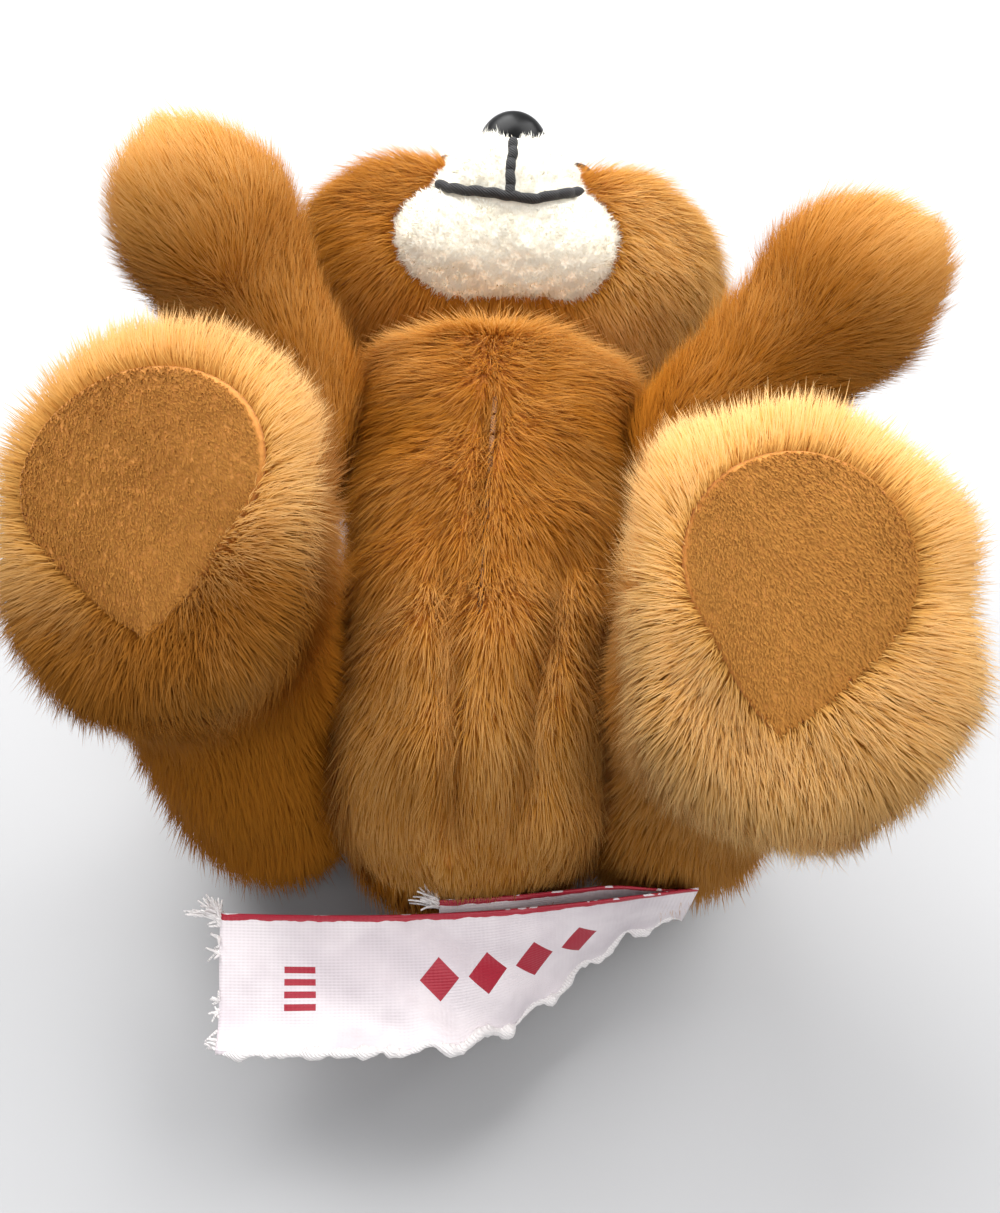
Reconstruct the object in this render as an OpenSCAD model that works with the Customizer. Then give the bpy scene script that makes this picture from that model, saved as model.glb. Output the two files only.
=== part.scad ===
// Small plush bear on a key ring, lying on its back with its arms and legs up.
// X runs across the bear, Y from the seat to the crown, Z from the back up to the belly.
// The origin is on the flat of the back, midway between the seat and the chest.

/* [Torso] */
// Distance between the centre of the seat and the centre of the chest
torso_len = 34; // [28:1:41]
// Radius of the seat end of the cover
seat_r = 18.5; // [17:0.5:22.5]
// Radius of the chest end of the cover
chest_r = 18; // [16:0.5:22]
// Half width of the torso between the two thighs
hip_half_w = 14.5; // [12:0.5:16]
// Half width of the torso between the two shoulders
shoulder_half_w = 16.5; // [13.5:0.5:17.5]
// Depth of the flat that the stuffed back rests on
back_flat = 1; // [0.5:0.1:1.5]

/* [Head] */
// Radius of the head, seen from the side
head_r = 17; // [14:0.5:20.5]
// Width of the head over both cheeks
head_w = 60; // [52:1:72]
// Radius of the neck
neck_r = 9.5; // [8:0.5:11.5]
// Length of neck between the chest and the head
neck_gap = 2; // [1.5:0.25:4]
// Radius of each ear
ear_r = 8; // [6.5:0.5:9.5]
// Thickness of each layer of an ear
ear_layer = 2.2; // [1.8:0.1:2.7]

/* [Face] */
// Radius of the snout at its tip
snout_tip_r = 9.5; // [8:0.25:11.4]
// Radius of the snout where it leaves the head
snout_root_r = 11.5; // [10:0.5:13.5]
// Distance from the middle of the head to the middle of the snout's tip
snout_reach = 14.5; // [13:0.5:17.5]
// Radius of the chin
chin_r = 7.5; // [6.5:0.25:9]
// Width of the chin
chin_w = 31; // [26:0.5:37]
// Radius of the nose button
nose_r = 4.6; // [4:0.1:5.5]
// Radius of each eye button
eye_r = 3.2; // [2.7:0.1:3.9]
// Distance between the two eyes
eye_gap = 18; // [15:0.5:21.5]
// Radius of the shank behind the nose and the eyes
shank_r = 1.2; // [1:0.1:1.4]

/* [Arms] */
// Length of each arm from its shoulder to the middle of its paw
arm_len = 29.5; // [24:1:34]
// Radius of an arm at the shoulder
arm_root_r = 8.25; // [7:0.25:10]
// Radius of the paw
paw_r = 9.5; // [8:0.25:11.5]

/* [Legs] */
// Length of each leg from its hip to the middle of its foot
leg_len = 34; // [29:1:41]
// Radius of a leg at the hip
leg_root_r = 10.5; // [9:0.25:12.5]
// Radius of the foot
foot_r = 12.5; // [10.5:0.25:15]
// Distance that the toe end stands ahead of the heel end
foot_stretch = 6; // [5:0.5:8]
// Distance from the middle of the foot to its sole
sole_depth = 5.5; // [4.5:0.25:6.5]
// Width of the fur rim around the sole pad
sole_rim = 1.5; // [0.8:0.1:1.9]
// Thickness of the sole pad
sole_t = 1.2; // [1:0.1:1.6]

/* [Fabric] */
// Thickness of the plush backing that every cover is cut from
cover_t = 0.9; // [0.7:0.05:1.1]
// Clearance between a cover and its stuffing
stuffing_gap = 0.25; // [0.2:0.05:0.3]
// Clearance between pieces that move on each other
move_gap = 0.4; // [0.3:0.05:0.5]
// Radius of the sewing thread
thread_r = 0.3; // [0.25:0.05:0.35]
// Radius of the thick thread of the mouth
mouth_thread_r = 0.6; // [0.5:0.05:0.7]

/* [Label] */
// Length of the label's front layer
label_len = 47.5; // [42:1:60]
// Length of the label's back layer
label_back_len = 26; // [22:1:31]
// Width of the label's ribbon
label_w = 13; // [11:0.5:14.5]
// Thickness of one layer of ribbon
ribbon_t = 0.4; // [0.35:0.05:0.5]

/* [Ring and loop] */
// Inner radius of the split ring
ring_inner_r = 11.4; // [10:0.1:13.7]
// Width of the ring's wire, measured outwards
ring_wire_w = 1.6; // [1.3:0.1:1.9]
// Height of one of the ring's two turns
ring_wire_h = 1.1; // [0.9:0.1:1.3]
// Width of the hanging ribbon
loop_w = 8; // [7:0.5:9]
// Inner radius of the eye that holds the ring
loop_eye_r = 2.3; // [2.3:0.05:2.8]

/* [Hidden] */
$fn = 72;

LEFT = -1;
RIGHT = 1;
// Larger than any cut has to reach
far = 200;

brown = "#b5782f";
tan_brown = "#c98f4c";
cream = "#faf3e0";
filling = "#f4f4f0";
black = "#151517";
satin = "#e4d6dc";
steel = "#b9bcc2";

// Torso: the back is level, so each end's centre lies its own radius above the rest plane
seat_c = [0, -torso_len / 2, seat_r - back_flat];
chest_c = [0, torso_len / 2, chest_r - back_flat];
// The torso is pulled in between the thighs up to here
waist_y = chest_c[1] - chest_r + 1;

// Neck and head
neck_c = [0, chest_c[1] + chest_r + neck_gap / 2, chest_c[2]];
head_side = head_w / 2 - head_r;
head_c = [0, chest_c[1] + chest_r + neck_gap + head_r, head_r + move_gap];
neck_recess_r = neck_r + move_gap;

// Face: a positive lean is towards the seat, and the snout looks back a little
snout_lean = -8;
snout_dir = [0, -sin(snout_lean), cos(snout_lean)];
snout_tip = head_c + snout_reach * snout_dir;
snout_root = head_c + (head_r - snout_root_r * 0.45) * snout_dir;
chin_side = chin_w / 2 - chin_r;
chin_lean = 24;
chin_reach = head_r - 4;
chin_c = head_c + chin_reach * [0, -sin(chin_lean), cos(chin_lean)];
// The nose points back towards the eyes from the snout's tip
nose_lean = 22;
eye_lean = -48;
shank_hole_r = shank_r + 0.1;
washer_t = 0.8;
// A button's dome stands this far off the cover
seat_clearance = 0.05;
nose_washer_r = snout_tip_r * 0.5;
eye_washer_r = eye_r + 0.3;

// Ears
ear_turn = 26;
ear_reach = head_r + ear_r * 0.42;

// Limbs: swing turns a limb towards the seat, splay leans it outwards
arm_swing = [-24, -22];
arm_splay = [23, 35];
leg_swing = [-13, -3];
leg_splay = [13, 6];
sole_tip_back = [36, 24];
sole_turn = [4, -6];
// Turn of each sole pad on its own foot
pad_twist = [0, -7];
shoulder_c = [shoulder_half_w + move_gap + arm_root_r * 0.6, chest_c[1] + 1, chest_c[2] + 5];
hip_c = [hip_half_w + move_gap + leg_root_r * 0.6, seat_c[1] - seat_r * 0.22, seat_c[2] - 3];

// Label: it hangs from its right end, leaning back against the seat
label_gap = 0.8;
label_lean = 20;
label_right = hip_half_w + 9;
label_turn = 6;
// The label's upper corner sits this far below the middle of the seat
label_drop = 0.5;
label_top = [label_right, seat_c[1] - seat_r - label_gap + label_right * tan(label_turn), seat_r - label_drop];

// Ring and loop
wire_mid_r = ring_inner_r + ring_wire_w / 2;
loop_layer = 0.5;
loop_eye_out_r = loop_eye_r + loop_layer;
loop_drop = 33;
loop_start = head_r + 0.3;
eye_z = loop_eye_out_r + 0.15;
eye_y = head_c[1] + (head_r + 11.5);
eye_c = [0, eye_y, eye_z];
ring_tilt = -asin((eye_z - ring_wire_h - 0.1) / (2 * wire_mid_r));

function side_index(side) = side == LEFT ? 0 : 1;
function unit(v) = v / norm(v);

// Turns +Z to point along v
module aim(v) {
    rotate([0, acos(unit(v)[2]), atan2(v[1], v[0])]) children();
}

// Rod with ball ends from p to q: its radius goes from rp to rq along the tangent cone
module ball_rod(p, q, rp, rq) {
    len = norm(q - p);
    slope = asin((rp - rq) / len);
    translate(p) aim(q - p) {
        sphere(rp);
        translate([0, 0, rp * sin(slope)])
            cylinder(h = len + (rq - rp) * sin(slope), r1 = rp * cos(slope), r2 = rq * cos(slope));
        translate([0, 0, len]) sphere(rq);
    }
}

// Everything on the far side of the plane through p, facing along dir
module half_space(p, dir) {
    translate(p) aim(dir) translate([-far / 2, -far / 2, 0]) cube([far, far, far / 2]);
}

// ---------- torso ----------

// Outer shape of the torso, taken in by inset
module torso_body(inset) {
    difference() {
        union() {
            ball_rod(seat_c, chest_c, seat_r - inset, chest_r - inset);
            translate(chest_c) aim([0, 1, 0]) {
                cylinder(h = neck_c[1] - chest_c[1], r = neck_r - inset);
                translate([0, 0, neck_c[1] - chest_c[1]]) sphere(neck_r - inset);
            }
        }
        half_space([0, 0, inset], [0, 0, -1]);
        for (side = [LEFT, RIGHT]) {
            half_space([side * (shoulder_half_w - inset), 0, 0], [side, 0, 0]);
            translate([side * (hip_half_w - inset + far / 2), waist_y + inset - far / 2, 0])
                cube(far, center = true);
        }
    }
}

module torso_cover() {
    color(brown) difference() {
        torso_body(0);
        torso_body(cover_t);
    }
}

module torso_stuffing() {
    color(filling) torso_body(cover_t + stuffing_gap);
}

// Stitches of the seam down the middle of the belly
module belly_seam_stitches() {
    count = 11;
    stitch = 2.6;
    first = chest_c[1] - 2;
    pitch = (chest_c[1] - seat_c[1]) / count;
    color(brown) for (i = [0:count - 1]) {
        y = first - i * pitch;
        share = (chest_c[1] - y) / torso_len;
        z = chest_c[2] + chest_r + share * (seat_c[2] + seat_r - chest_c[2] - chest_r);
        translate([0, y + stitch / 2, z]) rotate([90, 0, 0]) cylinder(h = stitch, r = thread_r);
    }
}

// Stitches that close the seat and hold the label's corner
module seat_seam_stitches() {
    count = 7;
    color(brown) for (i = [0:count - 1]) {
        turn = -24 + i * 8;
        translate(seat_c) rotate([0, 0, turn]) translate([-1, -seat_r, -2])
            rotate([0, 90, 0]) cylinder(h = 2, r = thread_r);
    }
}

// ---------- head ----------

// The head without its hollow for the neck
module head_core(inset) {
    side = [head_side, 0, 0];
    ball_rod(head_c - side, head_c + side, head_r - inset, head_r - inset);
}

module head_body(inset) {
    difference() {
        head_core(inset);
        translate(neck_c) sphere(neck_recess_r + inset);
    }
}

// Shank holes through the front of the head, one for each eye
module eye_holes() {
    for (side = [LEFT, RIGHT]) at_eye(side) cylinder(h = 2 * head_r, r = shank_hole_r);
}

// Moves a shape to the head's axis behind one eye, with +Z pointing out of the face
module at_eye(side) {
    translate(head_c + [side * eye_gap / 2, 0, 0]) rotate([eye_lean, 0, 0]) children();
}

// Room for one eye's washer and shank behind the cover
module eye_pocket(side) {
    at_eye(side) translate([0, 0, head_r - cover_t - 4.2]) cylinder(h = far, r = eye_washer_r + 0.2);
}

module head_cover() {
    color(brown) difference() {
        head_body(0);
        head_body(cover_t);
        eye_holes();
    }
}

module head_stuffing() {
    color(filling) difference() {
        head_body(cover_t + stuffing_gap);
        eye_pocket(LEFT);
        eye_pocket(RIGHT);
    }
}

module muzzle_body(inset) {
    side = [chin_side, 0, 0];
    difference() {
        union() {
            ball_rod(snout_root, snout_tip, snout_root_r - inset, snout_tip_r - inset);
            ball_rod(chin_c - side, chin_c + side, chin_r - inset, chin_r - inset);
        }
        head_core(-inset);
    }
}

// Moves a shape to the snout's tip with +Z pointing out through the nose
module at_nose() {
    translate(snout_tip) rotate([snout_lean - nose_lean, 0, 0]) children();
}

module muzzle_cover() {
    color(cream) difference() {
        muzzle_body(0);
        muzzle_body(cover_t);
        at_nose() cylinder(h = far, r = shank_hole_r);
    }
}

module muzzle_stuffing() {
    color(filling) difference() {
        muzzle_body(cover_t + stuffing_gap);
        at_nose() translate([0, 0, snout_tip_r - cover_t - 3.6]) cylinder(h = far, r = nose_washer_r + 0.3);
    }
}

// Button with a shank: a dome of radius r over a round body of radius body_r
module button(r, body_r, stand, shank_len) {
    difference() {
        translate([0, 0, body_r - stand]) sphere(r);
        sphere(body_r + seat_clearance);
    }
    translate([0, 0, body_r - shank_len]) cylinder(h = shank_len + r * 0.3, r = shank_r);
}

module nose() {
    color(black) at_nose() button(nose_r, snout_tip_r, nose_r * 0.55, 3.4);
}

module eye(side) {
    color(black) at_eye(side) difference() {
        union() {
            translate([0, 0, head_r - eye_r * 0.35]) sphere(eye_r);
            translate([0, 0, head_r - 4]) cylinder(h = 4, r = shank_r);
        }
        difference() {
            rotate([0, 90, 0]) cylinder(h = far, r = head_r, center = true);
            translate([0, 0, head_r - 6]) cylinder(h = 12, r = shank_r);
        }
    }
}

module eye_left() {
    eye(LEFT);
}

module eye_right() {
    eye(RIGHT);
}

module washer(r, base) {
    color(filling) translate([0, 0, base]) difference() {
        cylinder(h = washer_t, r = r);
        translate([0, 0, -1]) cylinder(h = washer_t + 2, r = shank_hole_r);
    }
}

module nose_washer() {
    at_nose() washer(nose_washer_r, snout_tip_r - cover_t - 2.2);
}

module eye_washer_left() {
    at_eye(LEFT) washer(eye_washer_r, head_r - cover_t - 1.6);
}

module eye_washer_right() {
    at_eye(RIGHT) washer(eye_washer_r, head_r - cover_t - 1.6);
}

// Point on the ball of the snout, at an angle from its axis, turned by around from its chin side
function snout_point(angle, around) =
    snout_tip + (snout_tip_r + mouth_thread_r * 0.3) * (cos(angle) * snout_dir + sin(angle) * [
        sin(around),
        -cos(around) * cos(snout_lean),
        -cos(around) * sin(snout_lean)
    ]);

// Separate stitches of thread laid end to end along a run of points
module thread_run(points, r) {
    stitch_gap = 0.12;
    for (i = [0:len(points) - 2]) {
        v = points[i + 1] - points[i];
        translate(points[i]) aim(v) translate([0, 0, stitch_gap])
            cylinder(h = norm(v) - 2 * stitch_gap, r = r);
    }
}

// The line of the mouth, which dips in the middle
module mouth_stitches() {
    points = [for (turn = [-66:12:66]) snout_point(60 + 3 * cos(turn * 3), turn)];
    color(black) thread_run(points, mouth_thread_r);
}

// The line from the nose down to the mouth
module philtrum_stitch() {
    points = [for (angle = [10:9:55]) snout_point(angle, 0)];
    color(black) thread_run(points, mouth_thread_r);
}

// Half of an ear: a disc of one layer, cut away where it meets the head
module ear_layer(side, front) {
    out = [side * sin(ear_turn), cos(ear_turn), 0];
    difference() {
        translate(head_c + [side * head_side, 0, -3] + ear_reach * out)
            translate([0, 0, front ? 0 : -ear_layer]) cylinder(h = ear_layer, r = ear_r);
        head_core(0);
    }
}

module ear_front_left() {
    color(tan_brown) ear_layer(LEFT, true);
}

module ear_back_left() {
    color(brown) ear_layer(LEFT, false);
}

module ear_front_right() {
    color(tan_brown) ear_layer(RIGHT, true);
}

module ear_back_right() {
    color(brown) ear_layer(RIGHT, false);
}

// ---------- arms ----------

module arm_body(side, inset) {
    i = side_index(side);
    wrist = arm_len - paw_r * 0.4;
    difference() {
        translate([side * shoulder_c[0], shoulder_c[1], shoulder_c[2]])
            rotate([arm_swing[i], 0, 0]) rotate([0, side * arm_splay[i], 0]) {
                ball_rod([0, 0, 0], [0, 0, wrist], arm_root_r - inset, arm_root_r - inset);
                translate([0, 0, arm_len]) sphere(paw_r - inset);
            }
        half_space([side * (shoulder_half_w + move_gap + inset), 0, 0], [-side, 0, 0]);
    }
}

module arm_cover(side) {
    color(brown) difference() {
        arm_body(side, 0);
        arm_body(side, cover_t);
    }
}

module arm_cover_left() {
    arm_cover(LEFT);
}

module arm_cover_right() {
    arm_cover(RIGHT);
}

module arm_stuffing_left() {
    color(filling) arm_body(LEFT, cover_t + stuffing_gap);
}

module arm_stuffing_right() {
    color(filling) arm_body(RIGHT, cover_t + stuffing_gap);
}

// ---------- legs ----------

// Moves a shape from a leg's own frame, with the hip at the origin and +Z down the leg
module at_hip(side) {
    i = side_index(side);
    translate([side * hip_c[0], hip_c[1], hip_c[2]])
        rotate([leg_swing[i], 0, 0]) rotate([0, side * leg_splay[i], 0]) children();
}

// Moves a shape to the middle of the foot, with +Z out of the sole and +Y to the toes
module at_foot(side) {
    i = side_index(side);
    at_hip(side) translate([0, 0, leg_len]) rotate([sole_tip_back[i], side * sole_turn[i], 0]) children();
}

module leg_body(side, inset) {
    ankle = leg_len - foot_r * 0.4;
    heel = foot_stretch / 2;
    difference() {
        union() {
            at_hip(side) ball_rod([0, 0, 0], [0, 0, ankle], leg_root_r - inset, leg_root_r - inset);
            at_foot(side) ball_rod([0, -heel, 0], [0, heel, 0], foot_r - inset, foot_r - inset);
        }
        at_foot(side) half_space([0, 0, sole_depth - inset], [0, 0, 1]);
        half_space([side * (hip_half_w + move_gap + inset), 0, 0], [-side, 0, 0]);
    }
}

module leg_cover(side) {
    color(brown) difference() {
        leg_body(side, 0);
        leg_body(side, cover_t);
    }
}

// The suede pad on the flat of the sole: round at the toes and drawn to a point at the heel
module sole_pad(side) {
    flat_r = sqrt(foot_r * foot_r - sole_depth * sole_depth);
    pad_r = flat_r - sole_rim;
    toe_y = foot_stretch / 2;
    tip = foot_stretch + flat_r - sole_rim * 0.7;
    touch = asin(pad_r / tip);
    color(tan_brown) at_foot(side) rotate([0, 0, pad_twist[side_index(side)]])
        translate([0, toe_y, sole_depth]) linear_extrude(sole_t) {
        circle(pad_r);
        polygon([
            [-pad_r * cos(touch), -pad_r * sin(touch)],
            [0, -tip],
            [pad_r * cos(touch), -pad_r * sin(touch)]
        ]);
    }
}

module leg_cover_left() {
    leg_cover(LEFT);
}

module leg_cover_right() {
    leg_cover(RIGHT);
}

module leg_stuffing_left() {
    color(filling) leg_body(LEFT, cover_t + stuffing_gap);
}

module leg_stuffing_right() {
    color(filling) leg_body(RIGHT, cover_t + stuffing_gap);
}

module sole_pad_left() {
    sole_pad(LEFT);
}

module sole_pad_right() {
    sole_pad(RIGHT);
}

// ---------- label, loop and ring ----------

// A ribbon doubled at its right end, so that its front layer outreaches its back layer
module label() {
    fold_gap = ribbon_t;
    thick = 2 * ribbon_t + fold_gap;
    color(satin) translate(label_top) rotate([label_lean, 0, 0]) rotate([0, 0, label_turn]) {
        translate([-label_len, -label_w, thick - ribbon_t]) cube([label_len, label_w, ribbon_t]);
        translate([-label_back_len, -label_w, 0]) cube([label_back_len, label_w, ribbon_t]);
        translate([-ribbon_t, -label_w, 0]) cube([ribbon_t, label_w, thick]);
    }
}

// The hanging ribbon: two layers from the crown, closed by the eye that holds the ring
module hang_loop() {
    start = [0, head_c[1] + loop_start * cos(loop_drop), head_c[2] - loop_start * sin(loop_drop)];
    run = eye_c - start;
    run_len = norm(run);
    lean = atan2(run[2], run[1]);
    color(satin) difference() {
        union() {
            translate(start) rotate([lean, 0, 0]) translate([-loop_w / 2, 0.5, -loop_layer])
                cube([loop_w, run_len - loop_eye_r - 0.7, 2 * loop_layer]);
            translate(eye_c) rotate([0, 90, 0]) cylinder(h = loop_w, r = loop_eye_out_r, center = true);
        }
        translate(eye_c) rotate([0, 90, 0]) cylinder(h = loop_w + 2, r = loop_eye_r, center = true);
    }
}

// One turn of the ring's wire, open by a small angle
module ring_turn(start, sweep) {
    rotate([0, 0, start]) rotate_extrude(angle = sweep)
        translate([ring_inner_r, 0]) square([ring_wire_w, ring_wire_h]);
}

// Two turns of flat wire, one on the other, joined where the wire steps up
module split_ring() {
    step = 16;
    slit = 0.08;
    color(steel) translate(eye_c) rotate([ring_tilt, 0, 0]) translate([0, wire_mid_r, 0]) {
        translate([0, 0, -ring_wire_h]) ring_turn(90 + step / 2, 360 - step);
        translate([0, 0, slit]) ring_turn(90 + step / 2, 360 - step);
        translate([0, 0, -ring_wire_h]) rotate([0, 0, 90 + step / 2 - 5]) rotate_extrude(angle = 7)
            translate([ring_inner_r, 0]) square([ring_wire_w, 2 * ring_wire_h + slit]);
    }
}

torso_cover();
torso_stuffing();
belly_seam_stitches();
seat_seam_stitches();
head_cover();
head_stuffing();
muzzle_cover();
muzzle_stuffing();
nose();
nose_washer();
eye_left();
eye_right();
eye_washer_left();
eye_washer_right();
mouth_stitches();
philtrum_stitch();
ear_front_left();
ear_back_left();
ear_front_right();
ear_back_right();
arm_cover_left();
arm_stuffing_left();
arm_cover_right();
arm_stuffing_right();
leg_cover_left();
leg_stuffing_left();
sole_pad_left();
leg_cover_right();
leg_stuffing_right();
sole_pad_right();
label();
hang_loop();
split_ring();
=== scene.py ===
"""Small plush bear on a key ring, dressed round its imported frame.

The bear lies on its back: X runs across it, Y from the seat to the crown and Z from the back up to the belly.
Lengths are in metres; sizes that repeat the frame's own are written in millimetres times MM.
"""

import logging
import math
from dataclasses import dataclass, field
from enum import Enum
from functools import cached_property
from typing import Callable

import bpy
import numpy as np
from mathutils import Matrix, Vector


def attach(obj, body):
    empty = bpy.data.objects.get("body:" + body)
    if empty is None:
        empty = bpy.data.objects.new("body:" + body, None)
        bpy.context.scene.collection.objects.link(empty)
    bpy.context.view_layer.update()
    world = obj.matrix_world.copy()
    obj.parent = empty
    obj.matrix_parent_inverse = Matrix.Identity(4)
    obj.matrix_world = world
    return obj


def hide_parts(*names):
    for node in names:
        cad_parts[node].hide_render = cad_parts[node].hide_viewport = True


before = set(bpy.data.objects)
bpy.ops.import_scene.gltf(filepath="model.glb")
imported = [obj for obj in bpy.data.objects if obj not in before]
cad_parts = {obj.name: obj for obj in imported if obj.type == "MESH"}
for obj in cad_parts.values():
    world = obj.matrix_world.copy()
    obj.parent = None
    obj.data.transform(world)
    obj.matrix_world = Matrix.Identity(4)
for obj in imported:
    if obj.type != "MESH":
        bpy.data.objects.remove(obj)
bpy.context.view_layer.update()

LOG = logging.getLogger("plush_bear")
MM = 0.001
Array = np.ndarray
Field = Callable[[Array], Array]
Colour = tuple[float, float, float]
Socket = bpy.types.NodeSocket
FLOOR_GAP = 0.15 * MM


class Side(Enum):
    """Which limb of a pair, as seen from the feet."""

    LEFT = -1
    RIGHT = 1

    @property
    def word(self) -> str:
        """The side's word in node and body names."""
        return self.name.lower()


# ---------- vectors, noise and distance fields ----------


def vec(x: float, y: float, z: float) -> Array:
    """A point or direction as an array."""
    return np.array([x, y, z], float)


def unit(v: Array) -> Array:
    """Vectors scaled to length 1: v / |v|."""
    return v / np.maximum(np.linalg.norm(v, axis=-1, keepdims=True), 1e-12)


def turn_x(degrees: float) -> Array:
    """Rotation matrix about X."""
    c, s = math.cos(math.radians(degrees)), math.sin(math.radians(degrees))
    return np.array([[1, 0, 0], [0, c, -s], [0, s, c]], float)


def turn_y(degrees: float) -> Array:
    """Rotation matrix about Y."""
    c, s = math.cos(math.radians(degrees)), math.sin(math.radians(degrees))
    return np.array([[c, 0, s], [0, 1, 0], [-s, 0, c]], float)


def turn_z(degrees: float) -> Array:
    """Rotation matrix about Z."""
    c, s = math.cos(math.radians(degrees)), math.sin(math.radians(degrees))
    return np.array([[c, -s, 0], [s, c, 0], [0, 0, 1]], float)


def ease(x: Array, low: float, high: float) -> Array:
    """Smooth step from 0 at low to 1 at high: 3t^2 - 2t^3, t = (x - low) / (high - low) held to 0..1.

    Args:
        x: values.
        low: value that gives 0.
        high: value that gives 1.

    Returns:
        The stepped values.
    """
    t = np.clip((x - low) / (high - low), 0, 1)
    return t * t * (3 - 2 * t)


@dataclass
class Ripple:
    """Smooth random field: a sum of sine waves of nearly one wavelength in random directions."""

    wavelength: float
    seed: int
    waves: int = 10

    @cached_property
    def _parts(self) -> tuple[Array, Array]:
        """The waves' vectors, 2 pi / wavelength long give or take a third, and their phases."""
        rng = np.random.default_rng(self.seed)
        k = unit(rng.normal(size=(self.waves, 3)))
        k *= 2 * math.pi / self.wavelength * rng.uniform(0.7, 1.35, (self.waves, 1))
        return k, rng.uniform(0, 2 * math.pi, self.waves)

    def value(self, p: Array) -> Array:
        """sum of sin(k . p + phase) over the waves, divided by the root of their number."""
        k, phase = self._parts
        return np.sin(p @ k.T + phase).sum(-1) / math.sqrt(self.waves)

    def slope(self, p: Array) -> Array:
        """The field's gradient times wavelength / 2 pi, so that its size is about 1."""
        k, phase = self._parts
        return (np.cos(p @ k.T + phase) @ k) * self.wavelength / (2 * math.pi * math.sqrt(self.waves))


def rod_field(p: Array, a: Array, b: Array, ra: float, rb: float) -> Array:
    """Distance to a rod with ball ends: |p - a - h(b - a)| - ra - h(rb - ra), h the nearest share of ab.

    Args:
        p: points.
        a: centre of the first ball.
        b: centre of the second ball.
        ra: radius of the first ball.
        rb: radius of the second ball.

    Returns:
        Distances, below 0 inside.
    """
    ab = b - a
    h = np.clip(((p - a) @ ab) / max(float(ab @ ab), 1e-12), 0, 1)[..., None]
    return np.linalg.norm(p - a - h * ab, axis=-1) - ra - h[..., 0] * (rb - ra)


def join(d1: Array, d2: Array, soft: float) -> Array:
    """Smooth smaller of two fields: d1 h + d2 (1 - h) - soft h (1 - h), where h is 1/2 + (d2 - d1) / (2 soft),
    held to 0..1.

    Args:
        d1: first field.
        d2: second field.
        soft: width of the rounded inner corner.

    Returns:
        The joined field.
    """
    h = np.clip(0.5 + 0.5 * (d2 - d1) / soft, 0, 1)
    return d1 * h + d2 * (1 - h) - soft * h * (1 - h)


def trim(d1: Array, d2: Array, soft: float) -> Array:
    """Smooth larger of two fields: the join of their negatives, negated."""
    return -join(-d1, -d2, soft)


# ---------- surfaces ----------


@dataclass
class Spine:
    """Line inside a stuffed shape from which rays fan out to its skin."""

    start: Array
    end: Array
    side: Array
    cap: float = 0.27

    def rays(self, u: Array, v: Array) -> tuple[Array, Array]:
        """Origins and directions of rays: v below cap fans round the start, above 1 - cap round the end, and
        between them the ray stands square on the line; u turns it about the line.

        Args:
            u: share of a full turn.
            v: share of the way from the start's pole to the end's.

        Returns:
            Origins and unit directions.
        """
        line = self.end - self.start
        axis = unit(line)
        across = unit(self.side - (self.side @ axis) * axis)
        up = np.cross(axis, across)
        turn = 2 * math.pi * u
        radial = np.cos(turn)[..., None] * across + np.sin(turn)[..., None] * up
        tilt = np.where(v < self.cap, v / self.cap - 1, np.where(v > 1 - self.cap, (v - 1) / self.cap + 1, 0))
        along = np.clip((v - self.cap) / (1 - 2 * self.cap), 0, 1)
        angle = (tilt * math.pi / 2)[..., None]
        return self.start + along[..., None] * line, np.cos(angle) * radial + np.sin(angle) * axis


@dataclass
class Skin:
    """Closed skin of a stuffed shape: the place along each of a spine's rays where a field reaches 0."""

    spine: Spine
    depth: Field
    reach: float

    def point(self, u: Array, v: Array) -> Array:
        """Skin points: the ray's origin plus the ray times the length where the field is 0, found by halving.

        Args:
            u: share of a turn about the spine.
            v: share of the way along it.

        Returns:
            Points on the skin.
        """
        origin, ray = self.spine.rays(u, v)
        low, high = np.zeros(u.shape), np.full(u.shape, self.reach)
        for _ in range(15):
            mid = (low + high) / 2
            inside = self.depth(origin + mid[..., None] * ray) < 0
            low, high = np.where(inside, mid, low), np.where(inside, high, mid)
        return origin + low[..., None] * ray

    def normal(self, p: Array) -> Array:
        """Outward normals: the field's slope by central differences, scaled to 1."""
        e = 0.05 * MM
        steps = np.eye(3) * e
        return unit(np.stack([self.depth(p + s) - self.depth(p - s) for s in steps], -1))

    def spread(self, count: int, rng: np.random.Generator) -> Array:
        """Points spread evenly over the skin: cells of a (u, v) grid are drawn in proportion to their area
        |Pu x Pv|, and each point lies at random in its cell.

        Args:
            count: number of points.
            rng: random source.

        Returns:
            Points on the skin.
        """
        rows, cols = 150, 160
        v, u = np.meshgrid(np.linspace(0, 1, rows + 1), np.linspace(0, 1, cols + 1), indexing="ij")
        p = self.point(u, v)
        du, dv = p[:-1, 1:] - p[:-1, :-1], p[1:, :-1] - p[:-1, :-1]
        far_u, far_v = p[1:, 1:] - p[1:, :-1], p[1:, 1:] - p[:-1, 1:]
        area = np.linalg.norm(np.cross(du, dv), axis=-1) + np.linalg.norm(np.cross(far_u, far_v), axis=-1)
        cell = rng.choice(rows * cols, count, p=area.ravel() / area.sum())
        return self.point((cell % cols + rng.random(count)) / cols, (cell // cols + rng.random(count)) / rows)

    def mesh(self, name: str, around: int, along: int) -> bpy.types.Object:
        """The skin as a closed mesh with one vertex at each pole.

        Args:
            name: the piece's name.
            around: columns about the spine.
            along: rows from pole to pole.

        Returns:
            The new object.
        """
        v, u = np.meshgrid(np.linspace(0, 1, along), np.arange(around) / around, indexing="ij")
        p = self.point(u, v)
        return closed_mesh(name, p)


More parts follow.
